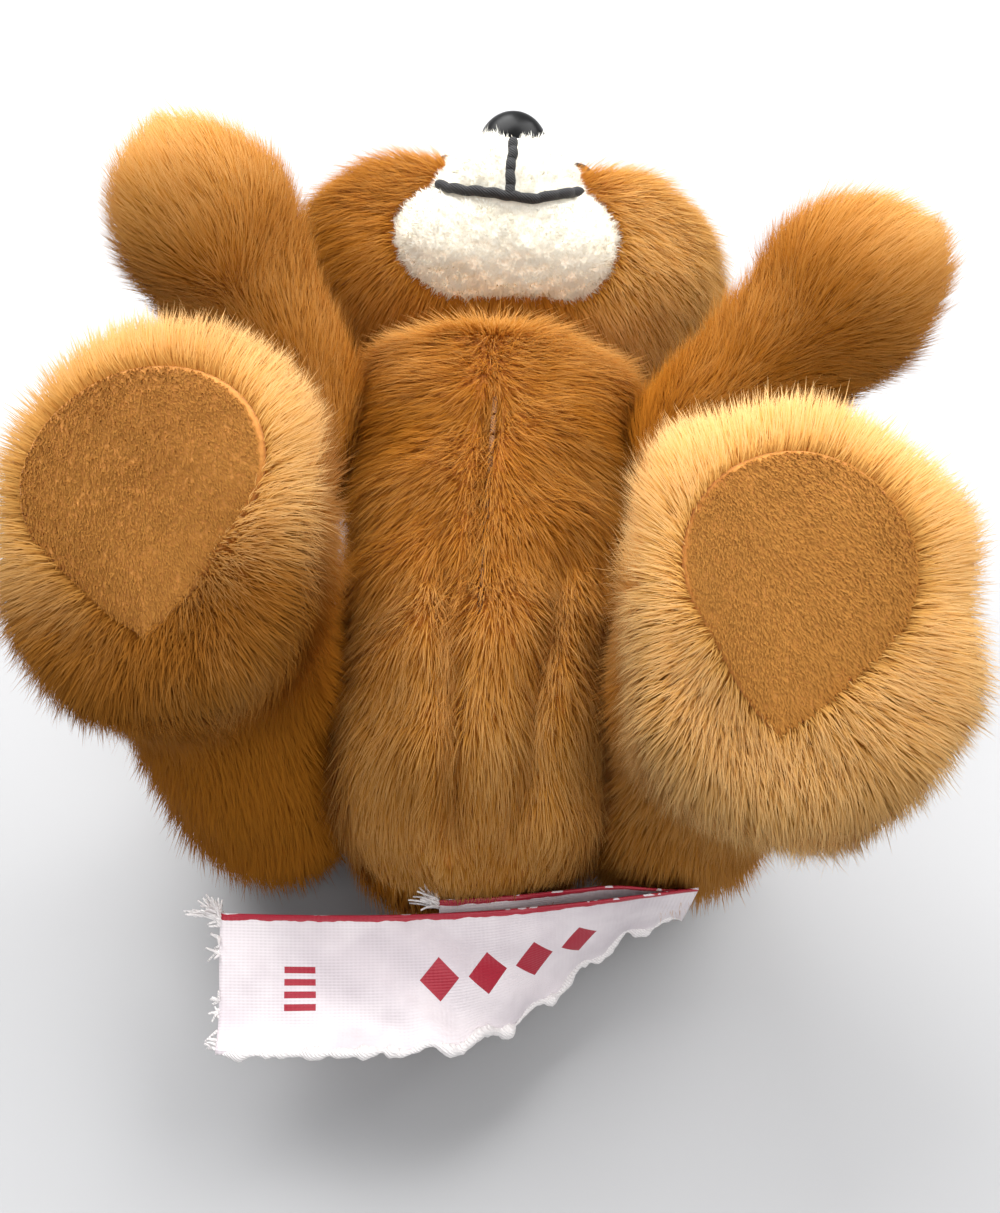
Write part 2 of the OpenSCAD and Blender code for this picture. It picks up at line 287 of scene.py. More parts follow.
@dataclass
class Pillow(Skin):
    """Flat round skin that faces +Z: half rounds at its edge, and a hollow in its upper face."""

    middle: Array = field(default_factory=lambda: np.zeros(3))
    radius: float = 8 * MM
    half: float = 1.1 * MM
    edge: float = 0.9 * MM
    hollow: float = 0.0

    def point(self, u: Array, v: Array) -> Array:
        """Points on the pillow: radius r runs out along the lower face and back along the upper one. The height is
        half - edge + sqrt(edge^2 - past^2), past being how far r is into the edge, less the hollow.

        Args:
            u: share of a turn.
            v: 0 in the middle of the lower face, 1 in the middle of the upper one.

        Returns:
            Points on the skin.
        """
        upper = v > 0.5
        r = self.radius * (1 - np.abs(2 * v - 1))
        past = np.clip(r - self.radius + self.edge, 0, self.edge)
        high = self.half - self.edge + np.sqrt(self.edge**2 - past**2)
        high = high - upper * self.hollow * (1 - (r / self.radius) ** 2)
        turn = 2 * math.pi * u
        return self.middle + np.stack([r * np.cos(turn), r * np.sin(turn), np.where(upper, high, -high)], -1)


@dataclass
class Patch(Skin):
    """Open skin with a formula of its own."""

    formula: Callable[[Array, Array], Array] = lambda u, v: np.stack([u, v, 0 * u], -1)

    def point(self, u: Array, v: Array) -> Array:
        """The formula's points."""
        return self.formula(u, v)


def object_from(
    name: str,
    points: Array,
    sizes: Array,
    corners: Array,
    uv: Array | None = None,
    uv_name: str = "weave",
    normals: Array | None = None,
) -> bpy.types.Object:
    """A mesh object at the origin from arrays.

    Args:
        name: the piece's name.
        points: vertices, one row each.
        sizes: number of corners of each face.
        corners: vertex of each corner, face after face.
        uv: texture place of each vertex.
        uv_name: name of the UV map.
        normals: shading normal of each vertex.

    Returns:
        The new object, linked to the scene.
    """
    mesh = bpy.data.meshes.new(name)
    mesh.vertices.add(len(points))
    mesh.vertices.foreach_set("co", np.ascontiguousarray(points, np.float32).ravel())
    mesh.loops.add(len(corners))
    mesh.loops.foreach_set("vertex_index", np.ascontiguousarray(corners, np.int32))
    mesh.polygons.add(len(sizes))
    starts = np.concatenate([[0], np.cumsum(sizes)[:-1]]).astype(np.int32)
    mesh.polygons.foreach_set("loop_start", starts)
    mesh.polygons.foreach_set("use_smooth", np.ones(len(sizes), bool))
    if uv is not None:
        layer = mesh.uv_layers.new(name=uv_name)
        layer.data.foreach_set("uv", np.ascontiguousarray(uv[corners], np.float32).ravel())
    mesh.update(calc_edges=True)
    mesh.validate()
    if normals is not None:
        mesh.normals_split_custom_set_from_vertices(np.ascontiguousarray(normals, np.float32))
    obj = bpy.data.objects.new(name, mesh)
    bpy.context.scene.collection.objects.link(obj)
    return obj


def closed_mesh(name: str, p: Array) -> bpy.types.Object:
    """Closed mesh from a grid whose first and last rows are poles and whose columns go round.

    Args:
        name: the piece's name.
        p: grid of points, rows by columns by 3.

    Returns:
        The new object.
    """
    rows, cols = p.shape[:2]
    points = np.concatenate([p[0, :1], p[1:-1].reshape(-1, 3), p[-1, :1]])
    j = np.arange(cols)
    k = (j + 1) % cols
    i = 1 + cols * np.arange(rows - 3)[:, None]
    quads = np.stack([i + j, i + k, i + cols + k, i + cols + j], -1).reshape(-1, 4)
    last = 1 + cols * (rows - 3)
    first_fan = np.stack([np.zeros(cols, int), 1 + k, 1 + j], -1)
    last_fan = np.stack([last + j, last + k, np.full(cols, len(points) - 1)], -1)
    sizes = np.concatenate([np.full(cols, 3), np.full(len(quads), 4), np.full(cols, 3)])
    corners = np.concatenate([first_fan.ravel(), quads.ravel(), last_fan.ravel()])
    return object_from(name, points, sizes, corners)


def strip_mesh(name: str, p: Array) -> bpy.types.Object:
    """Open mesh from a grid, with a UV map of its shares of rows and columns.

    Args:
        name: the piece's name.
        p: grid of points, rows by columns by 3.

    Returns:
        The new object.
    """
    rows, cols = p.shape[:2]
    j = np.arange(cols - 1)
    k = j + 1
    i = cols * np.arange(rows - 1)[:, None]
    quads = np.stack([i + j, i + k, i + cols + k, i + cols + j], -1).reshape(-1, 4)
    u, v = np.meshgrid(np.linspace(0, 1, rows), np.linspace(0, 1, cols), indexing="ij")
    uv = np.stack([u, v], -1).reshape(-1, 2)
    return object_from(name, p.reshape(-1, 3), np.full(len(quads), 4), quads.ravel(), uv)


def tube_mesh(name: str, path: Array, radius: Array, sides: int = 8) -> bpy.types.Object:
    """Closed tube along a path: each ring is centre + radius (cos t n + sin t b), with n and b square to the
    path, and the ends draw in to a point.

    Args:
        name: the piece's name.
        path: centre points.
        radius: radius at each point.
        sides: faces round the tube.

    Returns:
        The new object.
    """
    return closed_mesh(name, tube_grid(path, radius, sides))


def tube_grid(path: Array, radius: Array, sides: int) -> Array:
    """Rings of a tube as a grid whose end rows are its two end points, wound so that faces look outwards.

    Args:
        path: centre points.
        radius: radius at each point.
        sides: points in a ring.

    Returns:
        Grid of points.
    """
    way = unit(np.gradient(path, axis=0))
    guide = vec(0.31, 0.87, 0.38) if abs(way[:, 0]).mean() > 0.5 else vec(0.92, 0.21, 0.32)
    n = unit(guide - (way @ guide)[:, None] * way)
    b = np.cross(way, n)
    t = 2 * math.pi * np.arange(sides) / sides
    ring = np.cos(t)[None, :, None] * n[:, None] + np.sin(t)[None, :, None] * b[:, None]
    body = path[:, None] + radius[:, None, None] * ring
    ends = [np.repeat(path[i : i + 1, None], sides, 1) for i in (0, len(path) - 1)]
    return np.concatenate([ends[0], body, ends[1]])


def merged(name: str, parts: list[bpy.types.Object]) -> bpy.types.Object:
    """One object out of several new ones that share a material.

    Args:
        name: name of the result.
        parts: objects to join.

    Returns:
        The joined object.
    """
    chosen = {"active_object": parts[0], "selected_editable_objects": parts, "selected_objects": parts}
    with bpy.context.temp_override(**chosen):
        bpy.ops.object.join()
    parts[0].name = parts[0].data.name = name
    return parts[0]


# ---------- materials ----------


class NodeBook:
    """Short-hand for a material's node tree."""

    def __init__(self, name: str) -> None:
        """Starts a material with a Principled shader.

        Args:
            name: the material's name.
        """
        self.material = bpy.data.materials.new(name)
        self.material.use_nodes = True
        self.tree = self.material.node_tree
        self.shader = next(n for n in self.tree.nodes if n.type == "BSDF_PRINCIPLED")

    def add(self, kind: str, **inputs: object) -> bpy.types.Node:
        """A node whose inputs, named with _ for a space, are set to values or linked to sockets.

        Args:
            kind: node type.
            inputs: input names, or i and an input's number, and what goes into them; names that are properties
                set those.

        Returns:
            The node.
        """
        node = self.tree.nodes.new(kind)
        for name, value in inputs.items():
            if hasattr(node, name) and name not in ("Vector", "Scale"):
                setattr(node, name, value)
                continue
            numbered = name[0] == "i" and name[1:].isdigit()
            self.feed(node.inputs[int(name[1:]) if numbered else name.replace("_", " ")], value)
        return node

    def feed(self, socket: Socket, value: object) -> None:
        """Links a socket or sets its value.

        Args:
            socket: input to fill.
            value: an output socket, a number or a colour.
        """
        if isinstance(value, Socket):
            self.tree.links.new(value, socket)
        elif isinstance(value, tuple) and len(value) == 3 and socket.type == "RGBA":
            socket.default_value = (*value, 1.0)
        else:
            socket.default_value = value

    def place(self) -> Socket:
        """Object coordinates."""
        return self.add("ShaderNodeTexCoord").outputs["Object"]

    def map(self, name: str) -> tuple[Socket, Socket]:
        """The two shares of a UV map.

        Args:
            name: name of the UV map.

        Returns:
            U and V outputs.
        """
        split = self.add("ShaderNodeSeparateXYZ", Vector=self.add("ShaderNodeUVMap", uv_map=name).outputs[0])
        return split.outputs[0], split.outputs[1]

    def noise(self, scale: float, detail: float = 2.0, rough: float = 0.5) -> Socket:
        """Noise on Object coordinates.

        Args:
            scale: cells a metre.
            detail: octaves.
            rough: strength of the finer octaves.

        Returns:
            The noise's factor, about 0.5 on average.
        """
        node = self.add("ShaderNodeTexNoise", Vector=self.place(), Scale=scale, Detail=detail, Roughness=rough)
        return node.outputs[0]

    def math(self, operation: str, a: object, b: object = 0.0, c: object = 0.0) -> Socket:
        """A Math node.

        Args:
            operation: its operation.
            a: first value.
            b: second value.
            c: third value.

        Returns:
            The result.
        """
        return self.add("ShaderNodeMath", operation=operation, i0=a, i1=b, i2=c).outputs[0]

    def ramp(self, share: Socket, stops: list[tuple[float, Colour]]) -> Socket:
        """A colour ramp.

        Args:
            share: what it reads.
            stops: positions and colours.

        Returns:
            The colour.
        """
        node = self.add("ShaderNodeValToRGB", i0=share)
        ramp = node.color_ramp
        while len(ramp.elements) < len(stops):
            ramp.elements.new(0.5)
        for element, (place, colour) in zip(ramp.elements, stops, strict=True):
            element.position, element.color = place, (*colour, 1.0)
        return node.outputs[0]

    def mix(self, share: object, a: object, b: object, blend: str = "MIX") -> Socket:
        """A colour mix.

        Args:
            share: how much of b.
            a: first colour.
            b: second colour.
            blend: blend type.

        Returns:
            The colour.
        """
        return self.add("ShaderNodeMix", data_type="RGBA", blend_type=blend, i0=share, i6=a, i7=b).outputs[2]

    def bump(self, height: Socket, distance: float, strength: float = 0.6) -> None:
        """Bump on the shader's normal.

        Args:
            height: 0 to 1 height.
            distance: what height 1 stands for, in metres.
            strength: share of the effect.
        """
        node = self.add("ShaderNodeBump", Strength=strength, Distance=distance, Height=height)
        self.feed(self.shader.inputs["Normal"], node.outputs[0])

    def let_through(self, colour: Socket, share: float) -> None:
        """Mixes a share of light that passes through the surface into the output.

        Args:
            colour: colour of that light.
            share: how much of the shader it is.
        """
        through = self.add("ShaderNodeBsdfTranslucent", Color=colour)
        mix = self.add("ShaderNodeMixShader", i0=share, i1=self.shader.outputs[0], i2=through.outputs[0])
        output = next(n for n in self.tree.nodes if n.type == "OUTPUT_MATERIAL")
        self.feed(output.inputs[0], mix.outputs[0])

    def set(self, **sockets: object) -> None:
        """Sets or links the shader's own sockets, named with _ for a space."""
        for name, value in sockets.items():
            self.feed(self.shader.inputs[name.replace("_", " ")], value)


def dimmer(colour: Colour, share: float) -> Colour:
    """A colour times a share."""
    return tuple(c * share for c in colour)


@dataclass(frozen=True)
class PlushFinish:
    """Pile strands: colour goes from root to tip along V, and from a dark strand to a light one along U. The darker
    roots are painted shade deep in the pile; the lighter tips are partly the fibre's own colour and partly painted
    light.
    """

    name: str
    root: Colour
    dark: Colour
    light: Colour
    dark_tip: Colour
    light_tip: Colour
    through: float = 0.45
    roughness: float = 0.7

    def material(self) -> bpy.types.Material:
        """Two ramps over V, mixed by U, on a shader that also lets light through, as thin fibres do."""
        book = NodeBook(self.name)
        u, v = book.map("OFBake")
        # the root end of each ramp is painted shade deep in the pile; the tip end is partly the fibre's own colour
        # and partly painted light
        dim = book.ramp(v, [(0.0, self.root), (0.45, self.dark), (1.0, self.dark_tip)])
        bright = book.ramp(v, [(0.0, self.dark), (0.4, self.light), (1.0, self.light_tip)])
        colour = book.mix(u, dim, bright)
        book.set(Base_Color=colour, Roughness=self.roughness, Specular_IOR_Level=0.08)
        book.let_through(colour, self.through)
        return book.material


@dataclass(frozen=True)
class BackingFinish:
    """Knitted backing that shows as shade between the strands."""

    name: str
    dark: Colour
    light: Colour

    def material(self) -> bpy.types.Material:
        """Knit bumps and blotches on Object coordinates."""
        book = NodeBook(self.name)
        blotch = book.noise(420.0, 4.0, 0.6)
        knit = book.add("ShaderNodeTexVoronoi", Vector=book.place(), Scale=1900.0).outputs[0]
        book.set(Base_Color=book.mix(blotch, self.dark, self.light), Roughness=0.95, Sheen_Weight=0.03)
        book.bump(knit, 0.25 * MM)
        return book.material


@dataclass(frozen=True)
class VelourFinish:
    """Short dense pile of a sole pad: blotches where it is brushed, and painted shade in the hollows between the
    nubs.
    """

    name: str
    deep: Colour
    face: Colour
    bright: Colour

    def material(self) -> bpy.types.Material:
        """Blotches on Object coordinates, and painted shade between the nubs, with nub bumps."""
        book = NodeBook(self.name)
        stops = [(0.3, self.deep), (0.5, self.face), (0.72, self.bright)]
        brushed = book.ramp(book.noise(160.0, 3.0, 0.6), stops)
        nub = book.add("ShaderNodeTexVoronoi", Vector=book.place(), Scale=1500.0).outputs[0]
        # painted shade: darker where the nub bump sinks, between the nubs
        painted_nub_shade = book.ramp(nub, [(0.3, (1.0, 1.0, 1.0)), (0.8, (0.9, 0.84, 0.76))])
        book.set(Base_Color=book.mix(0.8, brushed, painted_nub_shade, "MULTIPLY"), Roughness=0.9, Sheen_Weight=0.05)
        book.bump(nub, -0.15 * MM)
        return book.material


@dataclass(frozen=True)
class GlossFinish:
    """Moulded glossy plastic with faint flow marks and handling smears."""

    name: str
    colour: Colour
    roughness: float = 0.12

    def material(self) -> bpy.types.Material:
        """Smears change roughness, and flow marks the surface."""
        book = NodeBook(self.name)
        smear = book.noise(380.0, 3.0, 0.6)
        rough = book.math("MULTIPLY_ADD", smear, 0.16, self.roughness - 0.06)
        tint = book.mix(smear, self.colour, tuple(c * 1.6 + 0.002 for c in self.colour))
        book.set(Base_Color=tint, Roughness=rough, Specular_IOR_Level=0.14)
        book.bump(book.noise(900.0, 1.0), 0.02 * MM, 0.3)
        return book.material


@dataclass(frozen=True)
class ThreadFinish:
    """Twisted thread: slanting plies and loose fibre, with painted shade in the grooves between the plies."""

    name: str
    dark: Colour
    light: Colour
    scale: float = 1400.0

    def material(self) -> bpy.types.Material:
        """Slanting bands broken by noise, on Object coordinates: the bands are painted shade where the ply bump
        sinks, and the noise is fibre tone.
        """
        book = NodeBook(self.name)
        wave = {"bands_direction": "DIAGONAL", "Scale": self.scale, "Distortion": 3.0, "Detail": 2.0}
        ply = book.add("ShaderNodeTexWave", Vector=book.place(), **wave).outputs[1]
        fibre = book.noise(3200.0, 3.0, 0.7)
        # darker where the ply bump sinks: painted shade in the grooves, broken by fibre tone
        tint = book.mix(book.math("MULTIPLY", ply, fibre), self.dark, self.light)
        book.set(Base_Color=tint, Roughness=0.75, Sheen_Weight=0.04)
        book.bump(ply, 0.12 * MM)
        return book.material


@dataclass(frozen=True)
class NylonFinish:
    """Natural nylon: milky, with moulding grain."""

    name: str
    colour: Colour

    def material(self) -> bpy.types.Material:
        """Cloudy colour and fine grain."""
        book = NodeBook(self.name)
        cloud = book.noise(500.0, 3.0)
        book.set(Base_Color=book.mix(cloud, self.colour, dimmer(self.colour, 0.86)), Roughness=0.45)
        book.bump(book.noise(4000.0, 1.0), 0.02 * MM, 0.4)
        return book.material


@dataclass(frozen=True)
class NickelFinish:
    """Nickel-plated wire: bright, with fine scuffs from keys."""

    name: str
    colour: Colour

    def material(self) -> bpy.types.Material:
        """Scuffs change roughness and tone; drawing lines mark the surface."""
        book = NodeBook(self.name)
        scuff = book.noise(1500.0, 6.0, 0.75)
        worn = book.ramp(book.noise(260.0, 3.0, 0.6), [(0.35, self.colour), (0.75, dimmer(self.colour, 0.72))])
        book.set(Base_Color=worn, Metallic=1.0, Roughness=book.math("MULTIPLY_ADD", scuff, 0.3, 0.1))
        book.bump(scuff, 0.02 * MM, 0.35)
        return book.material


@dataclass(frozen=True)
class SatinFinish:
    """White satin ribbon with a red woven edge and plain woven marks; U runs along it and V across it."""

    name: str
    face: Colour
    shade: Colour
    red: Colour
    length: float
    width: float
    marks: bool = True

    def material(self) -> bpy.types.Material:
        """Weave bumps, a wavering red line near V = 0 and blocks of red where the marks are woven."""
        book = NodeBook(self.name)
        u, v = book.map("weave")
        soft = book.ramp(book.noise(130.0, 3.0, 0.55), [(0.35, self.shade), (0.62, self.face)])
        waver = book.math("MULTIPLY_ADD", book.noise(520.0, 2.0), 0.05, v)
        line = book.math("COMPARE", waver, 0.047, 0.026)
        colour = book.mix(line, soft, self.red)
        if self.marks:
            colour = book.mix(self._marks(book, u, v), colour, self.red)
        warp = book.math("SINE", book.math("MULTIPLY", u, 2 * math.pi * self.length / (0.42 * MM)))
        weft = book.math("SINE", book.math("MULTIPLY", v, 2 * math.pi * self.width / (0.3 * MM)))
        book.set(Base_Color=colour, Roughness=0.45, Sheen_Weight=0.08)
        book.set(Specular_IOR_Level=0.4, Anisotropic=0.4)
        book.bump(book.math("MULTIPLY_ADD", warp, 0.35, book.math("MULTIPLY", weft, 0.5)), 0.05 * MM, 0.5)
        return book.material

    def _marks(self, book: NodeBook, u: Socket, v: Socket) -> Socket:
        """Plain woven marks: a column of bars near the free end, and a row of diamonds further along.

        Args:
            book: the material's nodes.
            u: share along the ribbon.
            v: share across it.

        Returns:
            1 inside a mark and 0 outside.
        """
        column = book.math("COMPARE", u, 0.835, 0.032)
        bars = book.math("COMPARE", book.math("FRACT", book.math("MULTIPLY", v, 11.0)), 0.5, 0.27)
        bars = book.math("MULTIPLY", bars, book.math("COMPARE", v, 0.545, 0.18))
        block = book.math("MULTIPLY", column, bars)
        across = book.math("ABSOLUTE", book.math("SUBTRACT", v, 0.5))
        place = book.math("FRACT", book.math("MULTIPLY", u, 10.0))
        slant = book.math("MULTIPLY", book.math("ABSOLUTE", book.math("SUBTRACT", place, 0.5)), 0.42)
        diamond = book.math("LESS_THAN", book.math("ADD", across, slant), 0.17)
        row = book.math("MULTIPLY", diamond, book.math("COMPARE", u, 0.4, 0.2))
        return book.math("MAXIMUM", block, row)


@dataclass(frozen=True)
class TapeFinish:
    """Woven tape: ribs across it and two darker edges; U runs along it and V across it."""

    name: str
    dark: Colour
    light: Colour
    length: float

    def material(self) -> bpy.types.Material:
        """Ribs by a sine over U, crossed by warp threads over V."""
        book = NodeBook(self.name)
        u, v = book.map("weave")
        rib = book.math("SINE", book.math("MULTIPLY", u, 2 * math.pi * self.length / (0.55 * MM)))
        warp = book.math("SINE", book.math("MULTIPLY", v, 2 * math.pi * 20.0))
        edge = book.math("GREATER_THAN", book.math("ABSOLUTE", book.math("SUBTRACT", v, 0.5)), 0.43)
        blotch = book.mix(book.noise(700.0, 3.0, 0.6), self.dark, self.light)
        colour = book.mix(book.math("MULTIPLY", edge, 0.6), blotch, self.dark)
        book.set(Base_Color=colour, Roughness=0.7, Sheen_Weight=0.3)
        book.bump(book.math("MULTIPLY_ADD", rib, 0.6, book.math("MULTIPLY", warp, 0.4)), 0.08 * MM, 0.7)
        return book.material


@dataclass(frozen=True)
class FloorFinish:
    """Plain pale studio floor."""

    name: str
    colour: Colour

    def material(self) -> bpy.types.Material:
        """One pale tone with a barely seen grain."""
        book = NodeBook(self.name)
        grain = book.mix(book.noise(40.0), self.colour, dimmer(self.colour, 0.97))
        book.set(Base_Color=grain, Roughness=0.55)
        return book.material


def dress(obj: bpy.types.Object, material: bpy.types.Material) -> bpy.types.Object:
    """Gives an object one material in each of its slots.

    Args:
        obj: a new piece or a CAD node.
        material: its material.

    Returns:
        The object.
    """
    if not obj.material_slots:
        obj.data.materials.append(material)
    for slot in obj.material_slots:
        slot.material = material
    return obj


@dataclass
class Wardrobe:
    """Every material, made once and kept by its finish."""

    made: dict[object, bpy.types.Material] = field(default_factory=dict)

    def get(self, finish: object) -> bpy.types.Material:
        """The finish's material.

        Args:
            finish: one of the finishes.

        Returns:
            Its material, made on first use.
        """
        if finish not in self.made:
            self.made[finish] = finish.material()
        return self.made[finish]


WARDROBE = Wardrobe()
# Pile finishes: root is painted shade deep in the pile; the tip colours are partly the fibre's own and partly
# painted light.
GOLDEN = PlushFinish(
    "golden_pile",
    root=(0.38, 0.13, 0.01),
    dark=(0.46, 0.17, 0.012),
    light=(0.72, 0.37, 0.075),
    dark_tip=(0.5, 0.195, 0.016),
    light_tip=(0.9, 0.62, 0.27),
)
HONEY = PlushFinish(
    "honey_pile",
    root=(0.36, 0.13, 0.012),
    dark=(0.4, 0.15, 0.016),
    light=(0.78, 0.44, 0.12),
    dark_tip=(0.44, 0.18, 0.024),
    light_tip=(0.88, 0.62, 0.3),
)
INNER_EAR = PlushFinish(
    "inner_ear_pile",
    root=(0.12, 0.05, 0.015),
    dark=(0.45, 0.22, 0.07),
    light=(0.62, 0.36, 0.14),
    dark_tip=(0.55, 0.3, 0.1),
    light_tip=(0.8, 0.55, 0.27),
)
FLEECE = PlushFinish(
    "white_fleece",
    root=(0.97, 0.9, 0.76),
    dark=(0.98, 0.94, 0.83),
    light=(1.0, 0.98, 0.9),
    dark_tip=(1.0, 0.97, 0.88),
    light_tip=(1.0, 1.0, 0.96),
)
SUEDE_NAP = PlushFinish(
    "sole_nap",
    root=(0.44, 0.185, 0.036),
    dark=(0.46, 0.2, 0.04),
    light=(0.52, 0.235, 0.05),
    dark_tip=(0.48, 0.21, 0.042),
    light_tip=(0.56, 0.265, 0.06),
    through=0.25,
)
BACKING = BackingFinish("brown_backing", (0.34, 0.115, 0.01), (0.44, 0.16, 0.016))
FLEECE_BACKING = BackingFinish("white_backing", (0.88, 0.82, 0.68), (0.96, 0.93, 0.84))
SUEDE = VelourFinish("sole_suede", (0.46, 0.19, 0.035), (0.5, 0.215, 0.041), (0.54, 0.24, 0.049))
BUTTON = GlossFinish("black_button", (0.002, 0.002, 0.0022), 0.32)
BROWN_THREAD = ThreadFinish("brown_thread", (0.12, 0.045, 0.008), (0.36, 0.15, 0.03))
BLACK_THREAD = ThreadFinish("black_thread", (0.004, 0.004, 0.005), (0.022, 0.021, 0.022))
WHITE_THREAD = ThreadFinish("white_thread", (0.74, 0.7, 0.69), (0.93, 0.9, 0.89))
NYLON = NylonFinish("natural_nylon", (0.8, 0.8, 0.76))
NICKEL = NickelFinish("nickel_plate", (0.72, 0.71, 0.69))
TAPE = TapeFinish("loop_tape", (0.2, 0.09, 0.025), (0.42, 0.21, 0.07), 60 * MM)
FLOOR = FloorFinish("studio_floor", (0.36, 0.36, 0.365))


# ---------- pile ----------


@dataclass(frozen=True)
class Cut:
    """How a pile is cut and combed. Angles are in degrees; the last group says what its undercoat is like."""

    length: float = 4 * MM
    uneven: float = 0.22
    lean: float = 44.0
    scatter: float = 7.0
    sway: float = 6.0
    swirl: float = 0.22
    twist: float = 0.5
    droop: float = 0.28
    width: float = 0.088 * MM
    tuft: float = 2.6 * MM
    pull: float = 0.26 * MM
    wander: float = 0.13

    under: float = 0.42
    under_length: float = 0.66
    under_width: float = 1.5
    over_width: float = 0.95


@dataclass
class Pile:
    """Strands grown on a skin: each is a blade of two faces, bent at one share of its length, with a point."""

    name: str
    skin: Skin
    count: int
    cut: Cut
    finish: PlushFinish
    comb: Callable[[Array, Array], Array]
    keep: Callable[[Array, Array], Array]
    tone: Callable[[Array, Array], Array]
    stretch: Callable[[Array, Array], Array] | None = None
    seed: int = 1
    bend: float = 0.52

    def grow(self) -> bpy.types.Object:
        """Grows the pile.

        A share of the strands is undercoat, shorter and wider, which fills the gaps between the others. The point
        at share t of a strand of length L is root + L (n (t cos a - droop t^2 / 2) + g (t sin a + droop t^2))
        + pull t^2 times the slope of a ripple, which gathers tips into tufts, + a random offset L wander t.
        n is the skin's normal, g the combing direction in the skin and a the lean.

        Returns:
            The pile as one object, dressed.
        """
        rng = np.random.default_rng(self.seed)
        roots = self.skin.spread(self.count, rng)
        n = self.skin.normal(roots)
        kept = self.keep(roots, n)
        roots, n = roots[kept], n[kept]
        count, cut = len(roots), self.cut
        g = self.comb(roots, n)
        g = unit(g - (g * n).sum(-1, keepdims=True) * n)
        long = cut.length * (1 + cut.uneven * rng.uniform(-1, 0.6, count))
        if self.stretch is not None:
            long = long * self.stretch(roots, n)
        under = rng.random(count) < cut.under
        long = np.where(under, long * cut.under_length, long)
        sway = cut.sway * Ripple(9 * MM, self.seed + 5).value(roots)
        lean = np.radians(cut.lean + rng.normal(0, cut.scatter, count) + sway)
        gather = Ripple(cut.tuft, self.seed + 1).slope(roots)
        gather = gather + 0.5 * Ripple(cut.tuft * 0.45, self.seed + 2).slope(roots)
        gather -= (gather * n).sum(-1, keepdims=True) * n
        swirl = Ripple(14 * MM, self.seed + 3).slope(roots)
        g = unit(g + cut.swirl * (swirl - (swirl * n).sum(-1, keepdims=True) * n))
        stray = rng.normal(size=(count, 3)) * cut.wander
        t = np.array([0.0, self.bend, 1.0])[None, :, None]
        L, a = long[:, None, None], lean[:, None, None]
        n3, g3 = n[:, None], g[:, None]
        line = roots[:, None] - 0.15 * MM * n3 * (t == 0)
        fall = cut.droop * t * t
        line = line + L * (n3 * (t * np.cos(a) - fall / 2) + g3 * (t * np.sin(a) + fall))
        line = line + t * t * cut.pull * (L / cut.length) * gather[:, None] + L * t * stray[:, None]
        line[..., 2] = np.maximum(line[..., 2], FLOOR_GAP + 0.25 * MM * rng.random((count, 1)))
        way = unit(np.gradient(line, axis=1))
        across = unit(np.cross(way, n3))
        spin = rng.uniform(-cut.twist, cut.twist, count)[:, None, None]
        across = across * np.cos(spin) + np.cross(way, across) * np.sin(spin)
        breadth = rng.uniform(0.7, 1.3, count) * np.where(under, cut.under_width, cut.over_width)
        half = cut.width / 2 * np.array([1.0, 0.9])[None, :, None] * breadth[:, None, None]
        left, right = line[:, :2] - across[:, :2] * half, line[:, :2] + across[:, :2] * half
        points = np.concatenate([left, right, line[:, 2:]], axis=1)
        facing = np.cross(across, way)
        facing = facing * np.where((facing * n3).sum(-1, keepdims=True) < 0, -1, 1)
        soft = unit(0.9 * n3 + 0.1 * facing + 0.25 * way)
        normals = np.concatenate([soft[:, :2], soft[:, :2], soft[:, 2:]], axis=1)
        tone = np.clip(self.tone(roots, n) + rng.normal(0, 0.06, count), 0.02, 0.98)
        share = np.array([0, self.bend, 0, self.bend, 1.0]) * np.where(under, 0.62, 1.0)[:, None]
        uv = np.stack([np.repeat(tone[:, None], 5, 1), np.clip(share, 0.02, 0.98)], -1)
        base = 5 * np.arange(count)[:, None]
        corners = (base + np.array([0, 2, 3, 1, 1, 3, 4])).ravel()
        sizes = np.tile(np.array([4, 3]), count)
        uv, normals = uv.reshape(-1, 2), normals.reshape(-1, 3)
        obj = object_from(self.name, points.reshape(-1, 3), sizes, corners, uv, "OFBake", normals)
        LOG.info("%s: %d strands", self.name, count)
        return dress(obj, WARDROBE.get(self.finish))


def plain_tone(level: float, seed: int, patch: float = 12 * MM) -> Callable[[Array, Array], Array]:
    """A tone that wanders in patches about a level.

    Args:
        level: mean tone, 0 dark to 1 light.
        seed: seed of the patches.
        patch: size of the patches.

    Returns:
        A function of points and normals.
    """
    wide, narrow = Ripple(patch, seed), Ripple(patch / 4, seed + 1)
    return lambda p, n: level + 0.07 * wide.value(p) + 0.05 * narrow.value(p)


# ---------- the bear ----------


